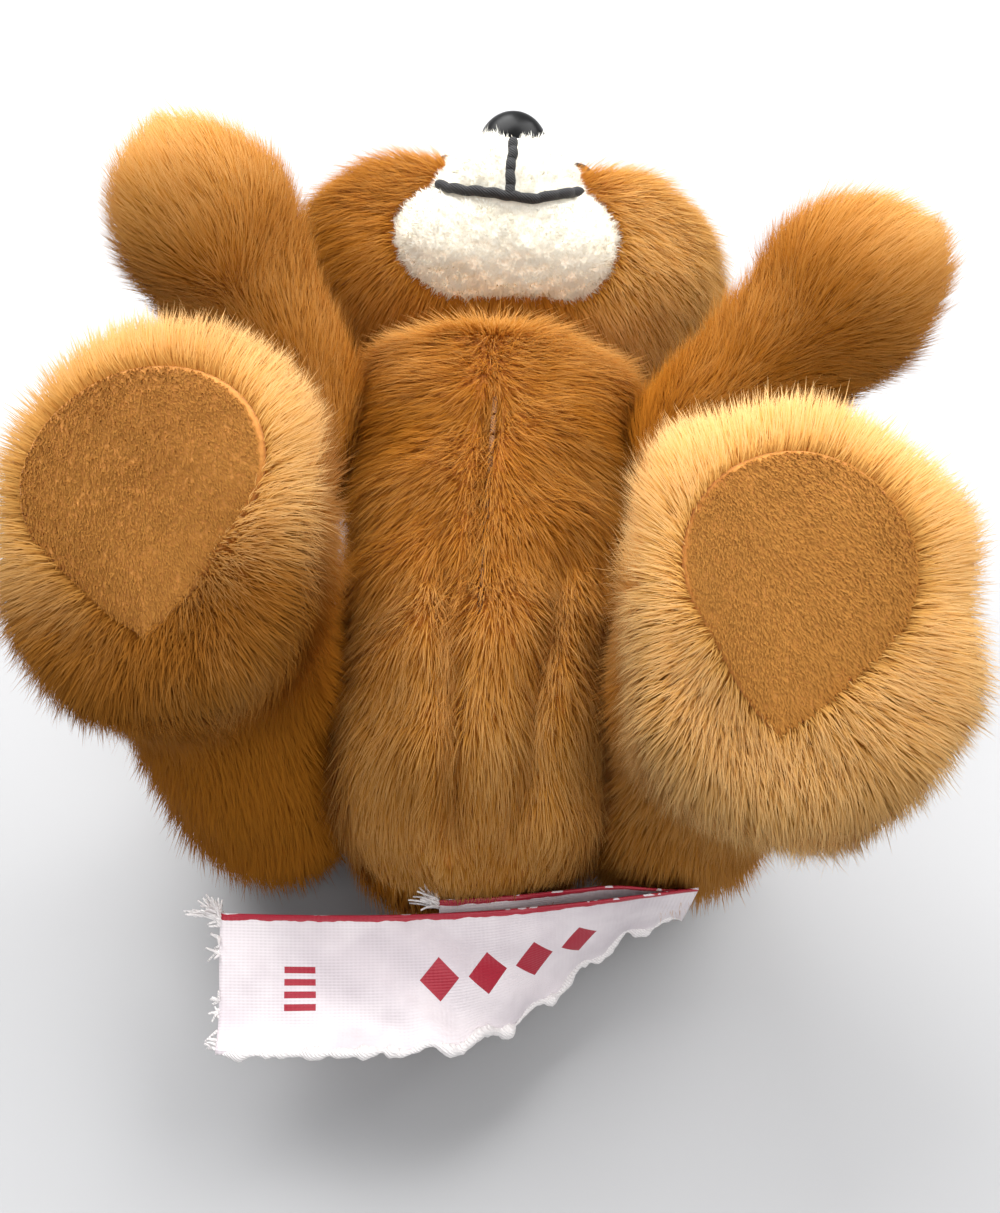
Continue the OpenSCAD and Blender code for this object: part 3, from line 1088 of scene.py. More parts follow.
@dataclass
class Torso:
    """Stuffed body with a seam down the belly and slack folds above the seat."""

    seat: Array = field(default_factory=lambda: vec(0, -17, 17.5) * MM)
    chest: Array = field(default_factory=lambda: vec(0, 17, 17) * MM)
    neck: Array = field(default_factory=lambda: vec(0, 36, 17) * MM)
    seat_r: float = 18.5 * MM
    chest_r: float = 18 * MM
    neck_r: float = 9.5 * MM
    yoke_r: float = 9.8 * MM
    hip_half: float = 14.6 * MM
    shoulder_half: float = 16.8 * MM

    def depth(self, p: Array) -> Array:
        """Body field: the rod from seat to chest joined to neck and yoke, trimmed at the sides and at the back's
        flat, with a groove along the seam and two folds, each a bell curve across X that fades along Y.

        Args:
            p: points.

        Returns:
            Distances, below 0 inside.
        """
        x, y, z = p[..., 0], p[..., 1], p[..., 2]
        body = rod_field(p, self.seat, self.chest, self.seat_r, self.chest_r)
        half = self.hip_half + (self.shoulder_half - self.hip_half) * ease(y, -14 * MM, 12 * MM)
        body = trim(body, np.abs(x) - half, 6 * MM)
        body = join(body, rod_field(p, self.chest, self.neck, self.neck_r, self.neck_r), 5 * MM)
        yoke = vec(7.2, 25.5, 21.5) * MM
        body = join(body, rod_field(p, yoke * vec(-1, 1, 1), yoke, self.yoke_r, self.yoke_r), 5 * MM)
        front = ease(z, 20 * MM, 30 * MM)
        seam_x = (-0.4 - 1.1 * ease(-y, -20 * MM, 15 * MM)) * MM
        seam = 0.7 * MM * np.exp(-(((x - seam_x) / (0.9 * MM)) ** 2)) * ease(-y, -26 * MM, -14 * MM)
        slack = ease(-y, -2 * MM, 12 * MM)
        folds = 1.3 * MM * np.exp(-(((x + 4.6 * MM + 0.1 * y) / (1.3 * MM)) ** 2))
        folds = folds + 1.6 * MM * np.exp(-(((x - 8.6 * MM - 0.12 * y) / (1.5 * MM)) ** 2))
        swell = 0.35 * MM * Ripple(11 * MM, 71).value(p)
        return trim(body + front * (seam + folds * slack) + swell, 0.25 * MM - z, 2 * MM)

    def skin(self) -> Skin:
        """The torso's skin, round a line from seat to neck."""
        return Skin(Spine(self.seat, self.neck - vec(0, 2, 0) * MM, vec(1, 0, 0), 0.22), self.depth, 30 * MM)

    def build(self, limbs: Field, head: Field) -> None:
        """Builds and dresses the torso.

        Args:
            limbs: field of the limbs, whose inside grows no pile.
            head: field of the head.
        """
        skin = self.skin()
        body = dress(skin.mesh("torso_skin", 96, 120), WARDROBE.get(BACKING))
        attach(body, "torso")
        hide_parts("torso_cover", "torso_stuffing")

        def comb(p: Array, n: Array) -> Array:
            """Down to the seat, away from the seam, and falling at the sides."""
            high = ease(p[..., 1], -8 * MM, 14 * MM)
            away = (0.2 + 0.75 * high) * np.tanh((p[..., 0] + 0.8 * MM) / (7 * MM))
            lift = ease(p[..., 1], 20 * MM, 34 * MM)
            return np.stack([away, 0.55 * high - 1.0 + 0.3 * lift, 1.1 * lift - 0.25], -1)

        def tone(p: Array, n: Array) -> Array:
            """Painted light over the lower belly and at the neck, and painted shade towards the sides, deepest on
            the left beside the left leg.
            """
            # painted light: lighter over the lower belly and up at the neck
            low = 0.4 * ease(-p[..., 1], -2 * MM, 22 * MM) + 0.4 * ease(p[..., 1], 23 * MM, 33 * MM)
            # painted shade: darker towards both sides, more on the left beside the left leg
            side = 0.16 * ease(np.abs(p[..., 0]), 8 * MM, 15 * MM) + 0.12 * ease(-p[..., 0], 9 * MM, 15 * MM)
            return plain_tone(0.2, 11)(p, n) + low - side

        def clear(p: Array) -> Array:
            """Roots that no other stuffed piece covers."""
            return (limbs(p) > -1.2 * MM) & (head(p) > -0.6 * MM)

        def near_seam(p: Array, n: Array) -> Array:
            """Strands are shorter along the seam and above the label, which holds them down."""
            held = np.exp(-(((p[..., 0] + 1.1 * MM) / (1.0 * MM)) ** 2)) * ease(p[..., 1], -12 * MM, 2 * MM)
            low = ease(-p[..., 1], 29 * MM, 34 * MM)
            return (1 - 0.08 * held + 0.3 * ease(p[..., 1], 24 * MM, 34 * MM)) * (1 - 0.5 * low)

        def front(p: Array) -> Array:
            """The belly's half."""
            return p[..., 2] > self.chest[2]

        cut = Cut(length=3.9 * MM, lean=54)
        belly = Pile(
            "belly_pile", skin, 128000, cut, GOLDEN, comb, lambda p, n: front(p) & clear(p), tone, near_seam, 2
        )
        cut = Cut(length=3.8 * MM, lean=52, width=0.15 * MM)
        back = Pile(
            "back_pile", skin, 80000, cut, GOLDEN, comb,
            lambda p, n: ~front(p) & clear(p), plain_tone(0.18, 12), seed=3,
        )
        for pile in (belly, back):
            piece = pile.grow()
            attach(piece, "torso")


@dataclass
class Head:
    """Wide stuffed head."""

    centre: Array = field(default_factory=lambda: vec(0, 54, 17.4) * MM)
    side: float = 13 * MM
    radius: float = 17 * MM

    def depth(self, p: Array) -> Array:
        """Head field: a rod between the cheeks, flattened where it rests, with a shallow swell.

        Args:
            p: points.

        Returns:
            Distances, below 0 inside.
        """
        off = vec(self.side, 0, 0)
        ball = rod_field(p, self.centre - off, self.centre + off, self.radius, self.radius)
        return trim(ball + 0.3 * MM * Ripple(13 * MM, 72).value(p), 0.4 * MM - p[..., 2], 1.5 * MM)

    def build(self, torso: Field, muzzle: Field) -> None:
        """Builds and dresses the head.

        Args:
            torso: field of the torso.
            muzzle: field of the muzzle, whose inside grows no pile.
        """
        off = vec(self.side, 0, 0)
        skin = Skin(Spine(self.centre - off, self.centre + off, vec(0, 0, 1), 0.3), self.depth, 26 * MM)
        body = dress(skin.mesh("head_skin", 96, 100), WARDROBE.get(BACKING))
        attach(body, "head")
        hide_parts("head_cover", "head_stuffing")

        def comb(p: Array, n: Array) -> Array:
            """Away from the middle of the face, falling to the sides."""
            out = unit(p - (self.centre + vec(0, 4, 14) * MM))
            return out + vec(0, -0.35, -0.25)

        def tone(p: Array, n: Array) -> Array:
            """Painted light on the right cheek and painted shade on the left one."""
            # painted light on the right cheek
            right = 0.8 * ease(p[..., 0], 7 * MM, 16 * MM) * ease(-p[..., 1], -70 * MM, -54 * MM)
            # painted shade on the left cheek, subtracted here
            return plain_tone(0.22, 21)(p, n) + right - 0.1 * ease(-p[..., 0], 10 * MM, 20 * MM)

        def front(p: Array) -> Array:
            """The half that faces the belly side and the chest."""
            return p[..., 2] > 15 * MM

        eyes = [node_middle(f"eye_{side.word}") for side in Side]

        def off_eye(p: Array) -> Array:
            """Distance to the nearer eye."""
            return np.minimum.reduce([np.linalg.norm(p - eye, axis=-1) for eye in eyes])

        def clear(p: Array) -> Array:
            """Roots that neither the torso, the muzzle nor an eye covers."""
            return (torso(p) > -0.8 * MM) & (muzzle(p) > -0.2 * MM) & (off_eye(p) > 3.7 * MM)

        def by_eye(p: Array, n: Array) -> Array:
            """Strands are shorter round the eyes."""
            return 0.35 + 0.65 * ease(off_eye(p), 4 * MM, 8 * MM)

        cut = Cut(length=4.2 * MM, lean=42)
        face = Pile(
            "face_pile", skin, 108000, cut, GOLDEN, comb, lambda p, n: front(p) & clear(p), tone, by_eye, 4
        )
        crown = Pile(
            "crown_pile", skin, 92000, cut, GOLDEN, comb, lambda p, n: ~front(p) & clear(p), tone, by_eye, 5
        )
        for pile in (face, crown):
            piece = pile.grow()
            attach(piece, "head")


@dataclass
class Muzzle:
    """White fleece snout and chin, with the mouth's thick thread."""

    head: Array = field(default_factory=lambda: vec(0, 54, 17.4) * MM)
    lean: float = -8.0
    chin_lean: float = 24.0
    tip_r: float = 9.5 * MM
    root_r: float = 11.5 * MM
    chin_r: float = 7.5 * MM
    chin_side: float = 8.0 * MM
    thread_r: float = 0.6 * MM

    @property
    def way(self) -> Array:
        """Direction of the snout."""
        a = math.radians(self.lean)
        return vec(0, -math.sin(a), math.cos(a))

    @property
    def tip(self) -> Array:
        """Middle of the snout's ball."""
        return self.head + 14.5 * MM * self.way

    def depth(self, p: Array) -> Array:
        """Muzzle field: the snout's rod joined to the chin's, with nubs of fleece.

        Args:
            p: points.

        Returns:
            Distances, below 0 inside.
        """
        a = math.radians(self.chin_lean)
        chin = self.head + 13 * MM * vec(0, -math.sin(a), math.cos(a))
        root = self.head + 11.8 * MM * self.way
        off = vec(self.chin_side, 0, 0)
        snout = rod_field(p, root, self.tip, self.root_r, self.tip_r)
        jaw = rod_field(p, chin - off, chin + off, self.chin_r, self.chin_r)
        nubs = 0.045 * MM * Ripple(1.9 * MM, 73).value(p) + 0.1 * MM * Ripple(6 * MM, 74).value(p)
        return join(snout, jaw, 3 * MM) + nubs

    def skin(self) -> Skin:
        """The muzzle's skin, round a short line along the snout."""
        return Skin(Spine(self.head + 6 * MM * self.way, self.tip, vec(1, 0, 0), 0.36), self.depth, 24 * MM)

    def line(self, angle: Array, around: Array) -> Array:
        """Points on the snout's surface, where a ray from the ball's middle, at an angle from the snout's way and
        turned by around from the chin's side, leaves the field.

        Args:
            angle: degrees from the way.
            around: degrees about it.

        Returns:
            Surface points.
        """
        a, r, lean = np.radians(angle), np.radians(around), math.radians(self.lean)
        down = vec(0, -math.cos(lean), -math.sin(lean))
        beside = np.sin(r)[:, None] * vec(1, 0, 0) + np.cos(r)[:, None] * down
        ray = np.cos(a)[:, None] * self.way + np.sin(a)[:, None] * beside
        low, high = np.zeros(len(a)), np.full(len(a), 20 * MM)
        for _ in range(24):
            mid = (low + high) / 2
            inside = self.depth(self.tip + mid[:, None] * ray) < 0
            low, high = np.where(inside, mid, low), np.where(inside, high, mid)
        return self.tip + low[:, None] * ray

    def build(self, head: Field) -> None:
        """Builds and dresses the muzzle and its threads.

        Args:
            head: field of the head, inside which no fleece grows.
        """
        skin = self.skin()
        body = dress(skin.mesh("muzzle_skin", 110, 90), WARDROBE.get(FLEECE_BACKING))
        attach(body, "head")
        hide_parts("muzzle_cover", "muzzle_stuffing")
        turn = np.linspace(-66, 66, 70)
        mouth = self.line(58 + 12 * (turn / 66) ** 2 + 1.3 * np.sin(np.radians(turn * 5)), turn)
        drop = self.line(np.linspace(12, 60, 40), np.zeros(40))
        near = np.concatenate([mouth[::2], drop[::2]])

        def off_thread(p: Array) -> Array:
            """Roots clear of the mouth's thread and the nose."""
            nose = self.tip + 10.2 * MM * vec(0, 0.5, 0.866)
            gap = np.full(len(p), 1.0)
            for q in near:
                gap = np.minimum(gap, np.linalg.norm(p - q, axis=-1))
            return (gap > 1.15 * MM) & (np.linalg.norm(p - nose, axis=-1) > 4.6 * MM)

        def comb(p: Array, n: Array) -> Array:
            """Every way at once, in small curls."""
            return Ripple(2.4 * MM, 75).slope(p) + 0.5 * unit(p - self.tip)

        cut = Cut(
            length=0.9 * MM, uneven=0.3, lean=20, droop=0.25,
            width=0.1 * MM, tuft=1.3 * MM, pull=0.05 * MM, wander=0.3,
        )
        pile = Pile(
            "muzzle_fleece", skin, 75000, cut, FLEECE, comb,
            lambda p, n: (head(p) > -0.3 * MM) & off_thread(p), plain_tone(0.6, 31, 5 * MM), seed=6,
        ).grow()
        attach(pile, "head")
        threads = [self._thread("mouth_thread", mouth), self._thread("philtrum_thread", drop)]
        for thread, node in zip(threads, ("mouth_stitches", "philtrum_stitch"), strict=True):
            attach(thread, "head")
            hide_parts(node)

    def _thread(self, name: str, path: Array) -> bpy.types.Object:
        """A thick twisted thread half sunk into the fleece: stitches swell between the places where they dip.

        Args:
            name: the piece's name.
            path: points on the fleece.

        Returns:
            The dressed piece.
        """
        out = self.skin().normal(path)
        share = np.linspace(0, 1, len(path))
        stitch = np.abs(np.sin(share * math.pi * len(path) / 8))
        taper = np.minimum(1, 0.35 + 14 * np.minimum(share, 1 - share))
        radius = self.thread_r * (1.0 + 0.1 * stitch) * taper
        lifted = path + out * (0.72 * MM + 0.2 * MM * stitch[:, None])
        return dress(tube_mesh(name, lifted, radius, 14), WARDROBE.get(BLACK_THREAD))


@dataclass
class Ear:
    """Round ear of two layers: pile behind and shorter pile in front."""

    side: Side
    head: Array = field(default_factory=lambda: vec(0, 54, 17.4) * MM)
    head_side: float = 13 * MM
    reach: float = 20.36 * MM
    radius: float = 8 * MM
    layer: float = 2.2 * MM
    edge: float = 0.9 * MM
    dish: float = 0.9 * MM
    turn: float = 26.0

    def hollow(self, front: bool) -> float:
        """Depth of a layer's hollow: only the front one has it."""
        return self.dish if front else 0.0

    def centre(self, front: bool) -> Array:
        """Middle of one layer."""
        s, a = self.side.value, math.radians(self.turn)
        out = vec(s * math.sin(a), math.cos(a), 0)
        lift = (0.5 if front else -0.5) * self.layer
        return self.head + vec(s * self.head_side, 0, -3 * MM + lift) + self.reach * out

    def depth(self, p: Array, front: bool) -> Array:
        """A layer's field: a disc of the layer's thickness, rounded at its edge and dished in front.

        Args:
            p: points.
            front: which layer.

        Returns:
            Distances, below 0 inside.
        """
        q = p - self.centre(front)
        wide = np.hypot(q[..., 0], q[..., 1])
        dish = self.hollow(front) * np.clip(1 - (wide / self.radius) ** 2, 0, 1)
        flat = np.abs(q[..., 2]) - self.layer / 2 + self.edge + dish * (q[..., 2] > 0)
        rim = wide - self.radius + self.edge
        outside = np.hypot(np.maximum(flat, 0), np.maximum(rim, 0))
        return outside + np.minimum(np.maximum(flat, rim), 0) - self.edge

    def build(self, head: Field) -> None:
        """Builds and dresses both layers.

        Args:
            head: field of the head, inside which no pile grows.
        """
        word = self.side.word
        for front in (True, False):
            middle = self.centre(front)
            spine = Spine(middle - vec(0, 0, 0.05 * MM), middle + vec(0, 0, 0.05 * MM), vec(1, 0, 0), 0.49)
            skin = Pillow(
                spine, lambda p, front=front: self.depth(p, front), 12 * MM,
                middle, self.radius, self.layer / 2, self.edge, self.hollow(front),
            )
            layer = "front" if front else "back"
            body = dress(skin.mesh(f"ear_{layer}_skin_{word}", 56, 40), WARDROBE.get(BACKING))
            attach(body, "head")
            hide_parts(f"ear_{layer}_{word}")
            sign = 1 if front else -1
            length, lean, strands = (1.9 * MM, 35, 12000) if front else (3.6 * MM, 42, 20000)
            cut = Cut(length=length, lean=lean, pull=0.4 * MM, width=0.15 * MM)
            pile = Pile(
                f"ear_{layer}_pile_{word}", skin, strands, cut, INNER_EAR if front else GOLDEN,
                lambda p, n, m=middle: unit(p - m) + vec(0, 0.3, 0),
                lambda p, n, sign=sign: (head(p) > -0.5 * MM) & (n[..., 2] * sign > -0.35),
                plain_tone(0.5, 41), seed=7 + sign,
            ).grow()
            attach(pile, "head")


@dataclass
class Arm:
    """Stuffed arm that stands up from its shoulder."""

    side: Side
    swing: float
    splay: float
    length: float = 29.5 * MM
    root_r: float = 8.25 * MM
    paw_r: float = 9.5 * MM
    taken_in: float = 0.9 * MM

    @property
    def shoulder(self) -> Array:
        """Middle of the shoulder."""
        return vec(self.side.value * 21.85, 18, 22) * MM

    @property
    def axes(self) -> Array:
        """The arm's own frame: its third column runs to the paw."""
        return turn_x(self.swing) @ turn_y(self.side.value * self.splay)

    @property
    def paw(self) -> Array:
        """Middle of the paw."""
        return self.shoulder + self.axes[:, 2] * self.length

    def depth(self, p: Array) -> Array:
        """Arm field: the rod from the shoulder joined to the paw's ball, cut flat beside the chest.

        Args:
            p: points.

        Returns:
            Distances, below 0 inside.
        """
        wrist = self.shoulder + self.axes[:, 2] * (self.length - self.paw_r * 0.4)
        root_r, paw_r = self.root_r - self.taken_in, self.paw_r - self.taken_in
        arm = rod_field(p, self.shoulder, wrist, root_r, root_r)
        arm = join(arm, rod_field(p, self.paw, self.paw, paw_r, paw_r), 2.5 * MM)
        beside = 16.9 * MM - self.side.value * p[..., 0]
        return trim(arm, beside, 2 * MM) + 0.25 * MM * Ripple(9 * MM, 76).value(p)

    def build(self, torso: Field) -> None:
        """Builds and dresses the arm.

        Args:
            torso: field of the torso, inside which no pile grows.
        """
        word = self.side.word
        axis = self.axes[:, 2]
        skin = Skin(Spine(self.shoulder, self.paw, self.axes[:, 0], 0.3), self.depth, 18 * MM)
        body = dress(skin.mesh(f"arm_skin_{word}", 64, 70), WARDROBE.get(BACKING))
        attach(body, f"arm_{word}")
        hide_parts(f"arm_cover_{word}", f"arm_stuffing_{word}")

        def comb(p: Array, n: Array) -> Array:
            """Towards the paw, falling at the sides."""
            return np.broadcast_to(axis * 0.8 + vec(0, 0, -0.25), p.shape)

        def tone(p: Array, n: Array) -> Array:
            """Painted highlight at the paw's tip, painted shade at the shoulder where the arm meets the body, and
            the right arm painted darker than the left.
            """
            far = (p - self.shoulder) @ axis
            # painted shade: the right arm starts darker than the left
            level = 0.26 if self.side is Side.LEFT else 0.14
            # painted highlight towards the paw's tip and painted shade at the shoulder
            tip, root = 0.42 * ease(far, 24 * MM, 38 * MM), 0.15 * ease(-far, -14 * MM, 0)
            return plain_tone(level, 51 + self.side.value)(p, n) + tip - root

        pile = Pile(
            f"arm_pile_{word}", skin, 57000, Cut(length=3.9 * MM, lean=40), GOLDEN, comb,
            lambda p, n: torso(p) > -0.3 * MM, tone, seed=12 + self.side.value,
        ).grow()
        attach(pile, f"arm_{word}")


@dataclass
class Leg:
    """Stuffed leg that ends in a foot with a drop-shaped sole pad."""

    side: Side
    swing: float
    splay: float
    tip_back: float
    sole_turn: float
    pad_twist: float = 0.0
    pad_width: float = 1.0
    pad_shift: tuple[float, float] = (0.0, 0.0)
    foot_shift: tuple[float, float] = (0.0, 0.0)
    plump: float = 0.0
    length: float = 34 * MM
    root_r: float = 10.5 * MM
    foot_r: float = 12.5 * MM
    heel: float = 3 * MM
    sole_depth: float = 5.5 * MM
    sunk: float = 0.5 * MM

    @property
    def hip(self) -> Array:
        """Middle of the hip."""
        return vec(self.side.value * 21.2, -21.07, 14.5) * MM

    @property
    def axes(self) -> Array:
        """The leg's own frame: its third column runs down the leg."""
        return turn_x(self.swing) @ turn_y(self.side.value * self.splay)

    @property
    def foot_axes(self) -> Array:
        """The foot's frame: its second column points to the toes and its third out of the sole."""
        return self.axes @ turn_y(self.side.value * self.sole_turn) @ turn_x(self.tip_back)

    @property
    def foot(self) -> Array:
        """Middle of the foot."""
        return self.hip + self.axes[:, 2] * self.length

    def local(self, p: Array) -> Array:
        """Points in the foot's frame."""
        return (p - self.foot) @ self.foot_axes

    def depth(self, p: Array) -> Array:
        """Leg field: the leg's rod joined to the foot's, trimmed by the sole's plane and beside the hip.

        Args:
            p: points.

        Returns:
            Distances, below 0 inside.
        """
        ankle = self.hip + self.axes[:, 2] * (self.length - self.foot_r * 0.4)
        toe = self.foot_axes[:, 1] * self.heel
        foot = self.foot + self.foot_axes @ (vec(*self.foot_shift, 0) * MM)
        foot_r = self.foot_r + self.plump
        leg = rod_field(p, self.hip, ankle, self.root_r, self.root_r)
        leg = join(leg, rod_field(p, foot - toe, foot + toe, foot_r, foot_r), 4 * MM)
        leg = trim(leg, self.local(p)[..., 2] - self.sole_depth, 2.5 * MM)
        leg = trim(leg, 14.9 * MM - self.side.value * p[..., 0], 2 * MM)
        leg = leg + 0.3 * MM * Ripple(11 * MM, 77 + self.side.value).value(p)
        return trim(leg, 0.3 * MM - p[..., 2], 1 * MM)

    def pad_edge(self, turn: Array) -> Array:
        """Radius of the pad's drop-shaped outline at a turn from the toes: the circle of the toe end, which
        towards the heel follows the two straight sides that touch it and meet at the tip.

        Args:
            turn: angle from the toes, in radians.

        Returns:
            Distance of the outline from the middle of the toe end.
        """
        flat_r = math.sqrt(self.foot_r**2 - self.sole_depth**2)
        pad_r = flat_r - 1.5 * MM
        tip = 2 * self.heel + flat_r - 1.05 * MM
        touch = math.asin(pad_r / tip)
        away = math.pi - np.abs((turn + math.pi) % (2 * math.pi) - math.pi)
        side = pad_r / np.maximum(np.cos(math.pi / 2 - touch - away), 1e-3)
        edge = np.where(away < math.pi / 2 - touch, side, pad_r)
        return edge * (1 - 0.07 * np.exp(-((away / 0.16) ** 2)))

    def pad_share(self, p: Array) -> Array:
        """How far out towards the pad's outline a point is: 0 in its middle, 1 on its edge."""
        q = (self.local(p) - vec(*self.pad_shift, 0) * MM) @ turn_z(self.pad_twist)
        x, y = q[..., 0] / self.pad_width, q[..., 1] - self.heel
        return np.hypot(x, y) / self.pad_edge(np.arctan2(x, y))

    def build(self, torso: Field) -> None:
        """Builds and dresses the leg and its sole pad.

        Args:
            torso: field of the torso, inside which no pile grows.
        """
        word = self.side.word
        skin = Skin(Spine(self.hip, self.foot, self.axes[:, 0], 0.3), self.depth, 26 * MM)
        body = dress(skin.mesh(f"leg_skin_{word}", 80, 90), WARDROBE.get(BACKING))
        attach(body, f"leg_{word}")
        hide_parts(f"leg_cover_{word}", f"leg_stuffing_{word}")
        out, toes = self.foot_axes[:, 2], self.foot_axes[:, 1]

        def comb(p: Array, n: Array) -> Array:
            """Outwards from the sole's middle on the foot, and up to the hip along the leg."""
            q = p - self.foot
            radial = unit(q - (q @ out)[:, None] * out)
            on_foot = ease(q @ out, -12 * MM, 0)[:, None]
            return on_foot * (radial + 0.2 * out) + (1 - on_foot) * (-self.axes[:, 2] + vec(0, 0, -0.3))

        def near_rim(p: Array) -> Array:
            """1 on the foot's rim and 0 on the leg; it places the painted light round the sole."""
            return ease((p - self.foot) @ out, -9 * MM, 3 * MM)

        def tone(p: Array, n: Array) -> Array:
            """Painted light round the sole, darker down the leg, the right leg painted lighter than the left, and
            painted shade below the foot, deep on the left and slight on the right.
            """
            # painted light and shade: the right leg starts lighter than the left, and the shade below the foot is
            # deep on the left and slight on the right
            level, shade = (0.16, 0.75) if self.side is Side.LEFT else (0.44, 0.12)
            below = shade * ease(-((p - self.foot) @ toes), 1 * MM, 11 * MM)
            # painted light on the raised rim round the sole
            return plain_tone(level, 61 + self.side.value)(p, n) + 0.58 * near_rim(p) - below

        def keep(p: Array, n: Array) -> Array:
            """Roots outside the pad and the torso."""
            on_sole = self.local(p)[..., 2] > self.sole_depth - 2.5 * MM
            return (torso(p) > -0.5 * MM) & ~(on_sole & (self.pad_share(p) < 0.94))

        def rim(p: Array) -> Array:
            """Roots within reach of the sole."""
            return (p - self.foot) @ out > -4 * MM

        leg = Pile(
            f"leg_pile_{word}", skin, 85000, Cut(), GOLDEN, comb,
            lambda p, n: keep(p, n) & ~rim(p), tone, seed=16 + self.side.value,
        )
        cut = Cut(length=3.6 * MM, uneven=0.15, lean=34, droop=0.25, pull=0.2 * MM, wander=0.14)
        foot = Pile(
            f"foot_pile_{word}", skin, 150000, cut, HONEY, comb,
            lambda p, n: keep(p, n) & rim(p), tone, seed=19 + self.side.value,
        )
        for pile in (leg, foot):
            piece = pile.grow()
            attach(piece, f"leg_{word}")
        self._pad(word)

    def _pad(self, word: str) -> None:
        """The sole pad: the drop-shaped outline filled by rings, crowned by (1 - share^4), with a turned edge.

        Args:
            word: the side's word.
        """
        thick, high = 1.2 * MM, 0.7 * MM

        def face(turn: Array, share: Array, lift: Array) -> Array:
            """Points of the pad: a share of its outline's radius from the toe end's middle, lifted off the sole."""
            r = share * self.pad_edge(turn)
            x, y = r * np.sin(turn), r * np.cos(turn) + self.heel
            rough = 0.05 * MM * Ripple(5 * MM, 78).value(np.stack([x, y, 0 * x], -1)) * (share < 0.99)
            q = np.stack([x * self.pad_width, y, self.sole_depth - self.sunk + lift + rough], -1)
            q = q @ turn_z(self.pad_twist).T + vec(*self.pad_shift, 0) * MM
            return q @ self.foot_axes.T + self.foot

        def crown(share: Array) -> Array:
            """Height of the pad's face over the sole: thick + high (1 - share^4)."""
            return thick + high * (1 - share**4)

        inner = np.linspace(0, 0.95, 22)
        share = np.concatenate([inner, [0.985, 1.0, 0.985, 0.9, 0.4, 0.0]])[:, None]
        lift = np.concatenate([crown(inner), np.array([0.78, 0.45, 0.1, 0, 0, 0]) * thick])[:, None]
        turn = (2 * math.pi * np.arange(120) / 120)[None]
        grid = face(turn + 0 * share, share + 0 * turn, lift + 0 * turn)
        pad = dress(closed_mesh(f"sole_pad_suede_{word}", grid), WARDROBE.get(SUEDE))
        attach(pad, f"leg_{word}")
        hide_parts(f"sole_pad_{word}")

        def depth(p: Array) -> Array:
            """Height over the crowned pad."""
            return self.local(p)[..., 2] - self.sole_depth - crown(np.clip(self.pad_share(p), 0, 1))

        def nap_point(u: Array, v: Array) -> Array:
            """Points of the pad's face: u goes round it and v out to its edge."""
            return face(2 * math.pi * u, 0.97 * v, crown(0.97 * v))

        nap_skin = Patch(Spine(self.hip, self.foot, self.axes[:, 0]), depth, 24 * MM, nap_point)
        cut = Cut(
            length=0.55 * MM, uneven=0.3, lean=50, droop=0.3,
            width=0.13 * MM, tuft=1.2 * MM, pull=0.02 * MM, wander=0.2,
        )
        brushed = -self.foot_axes[:, 1] + 0.4 * self.foot_axes[:, 0]
        nap = Pile(
            f"sole_nap_{word}", nap_skin, 20000, cut, SUEDE_NAP,
            lambda p, n: np.broadcast_to(brushed, p.shape), lambda p, n: n @ self.foot_axes[:, 2] > 0.2,
            plain_tone(0.5, 64, 7 * MM), seed=22 + self.side.value,
        ).grow()
        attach(nap, f"leg_{word}")


def node_middle(name: str) -> Array:
    """Middle of a CAD node's box."""
    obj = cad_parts[name]
    return np.array([tuple(obj.matrix_world @ Vector(c)) for c in obj.bound_box]).mean(0)


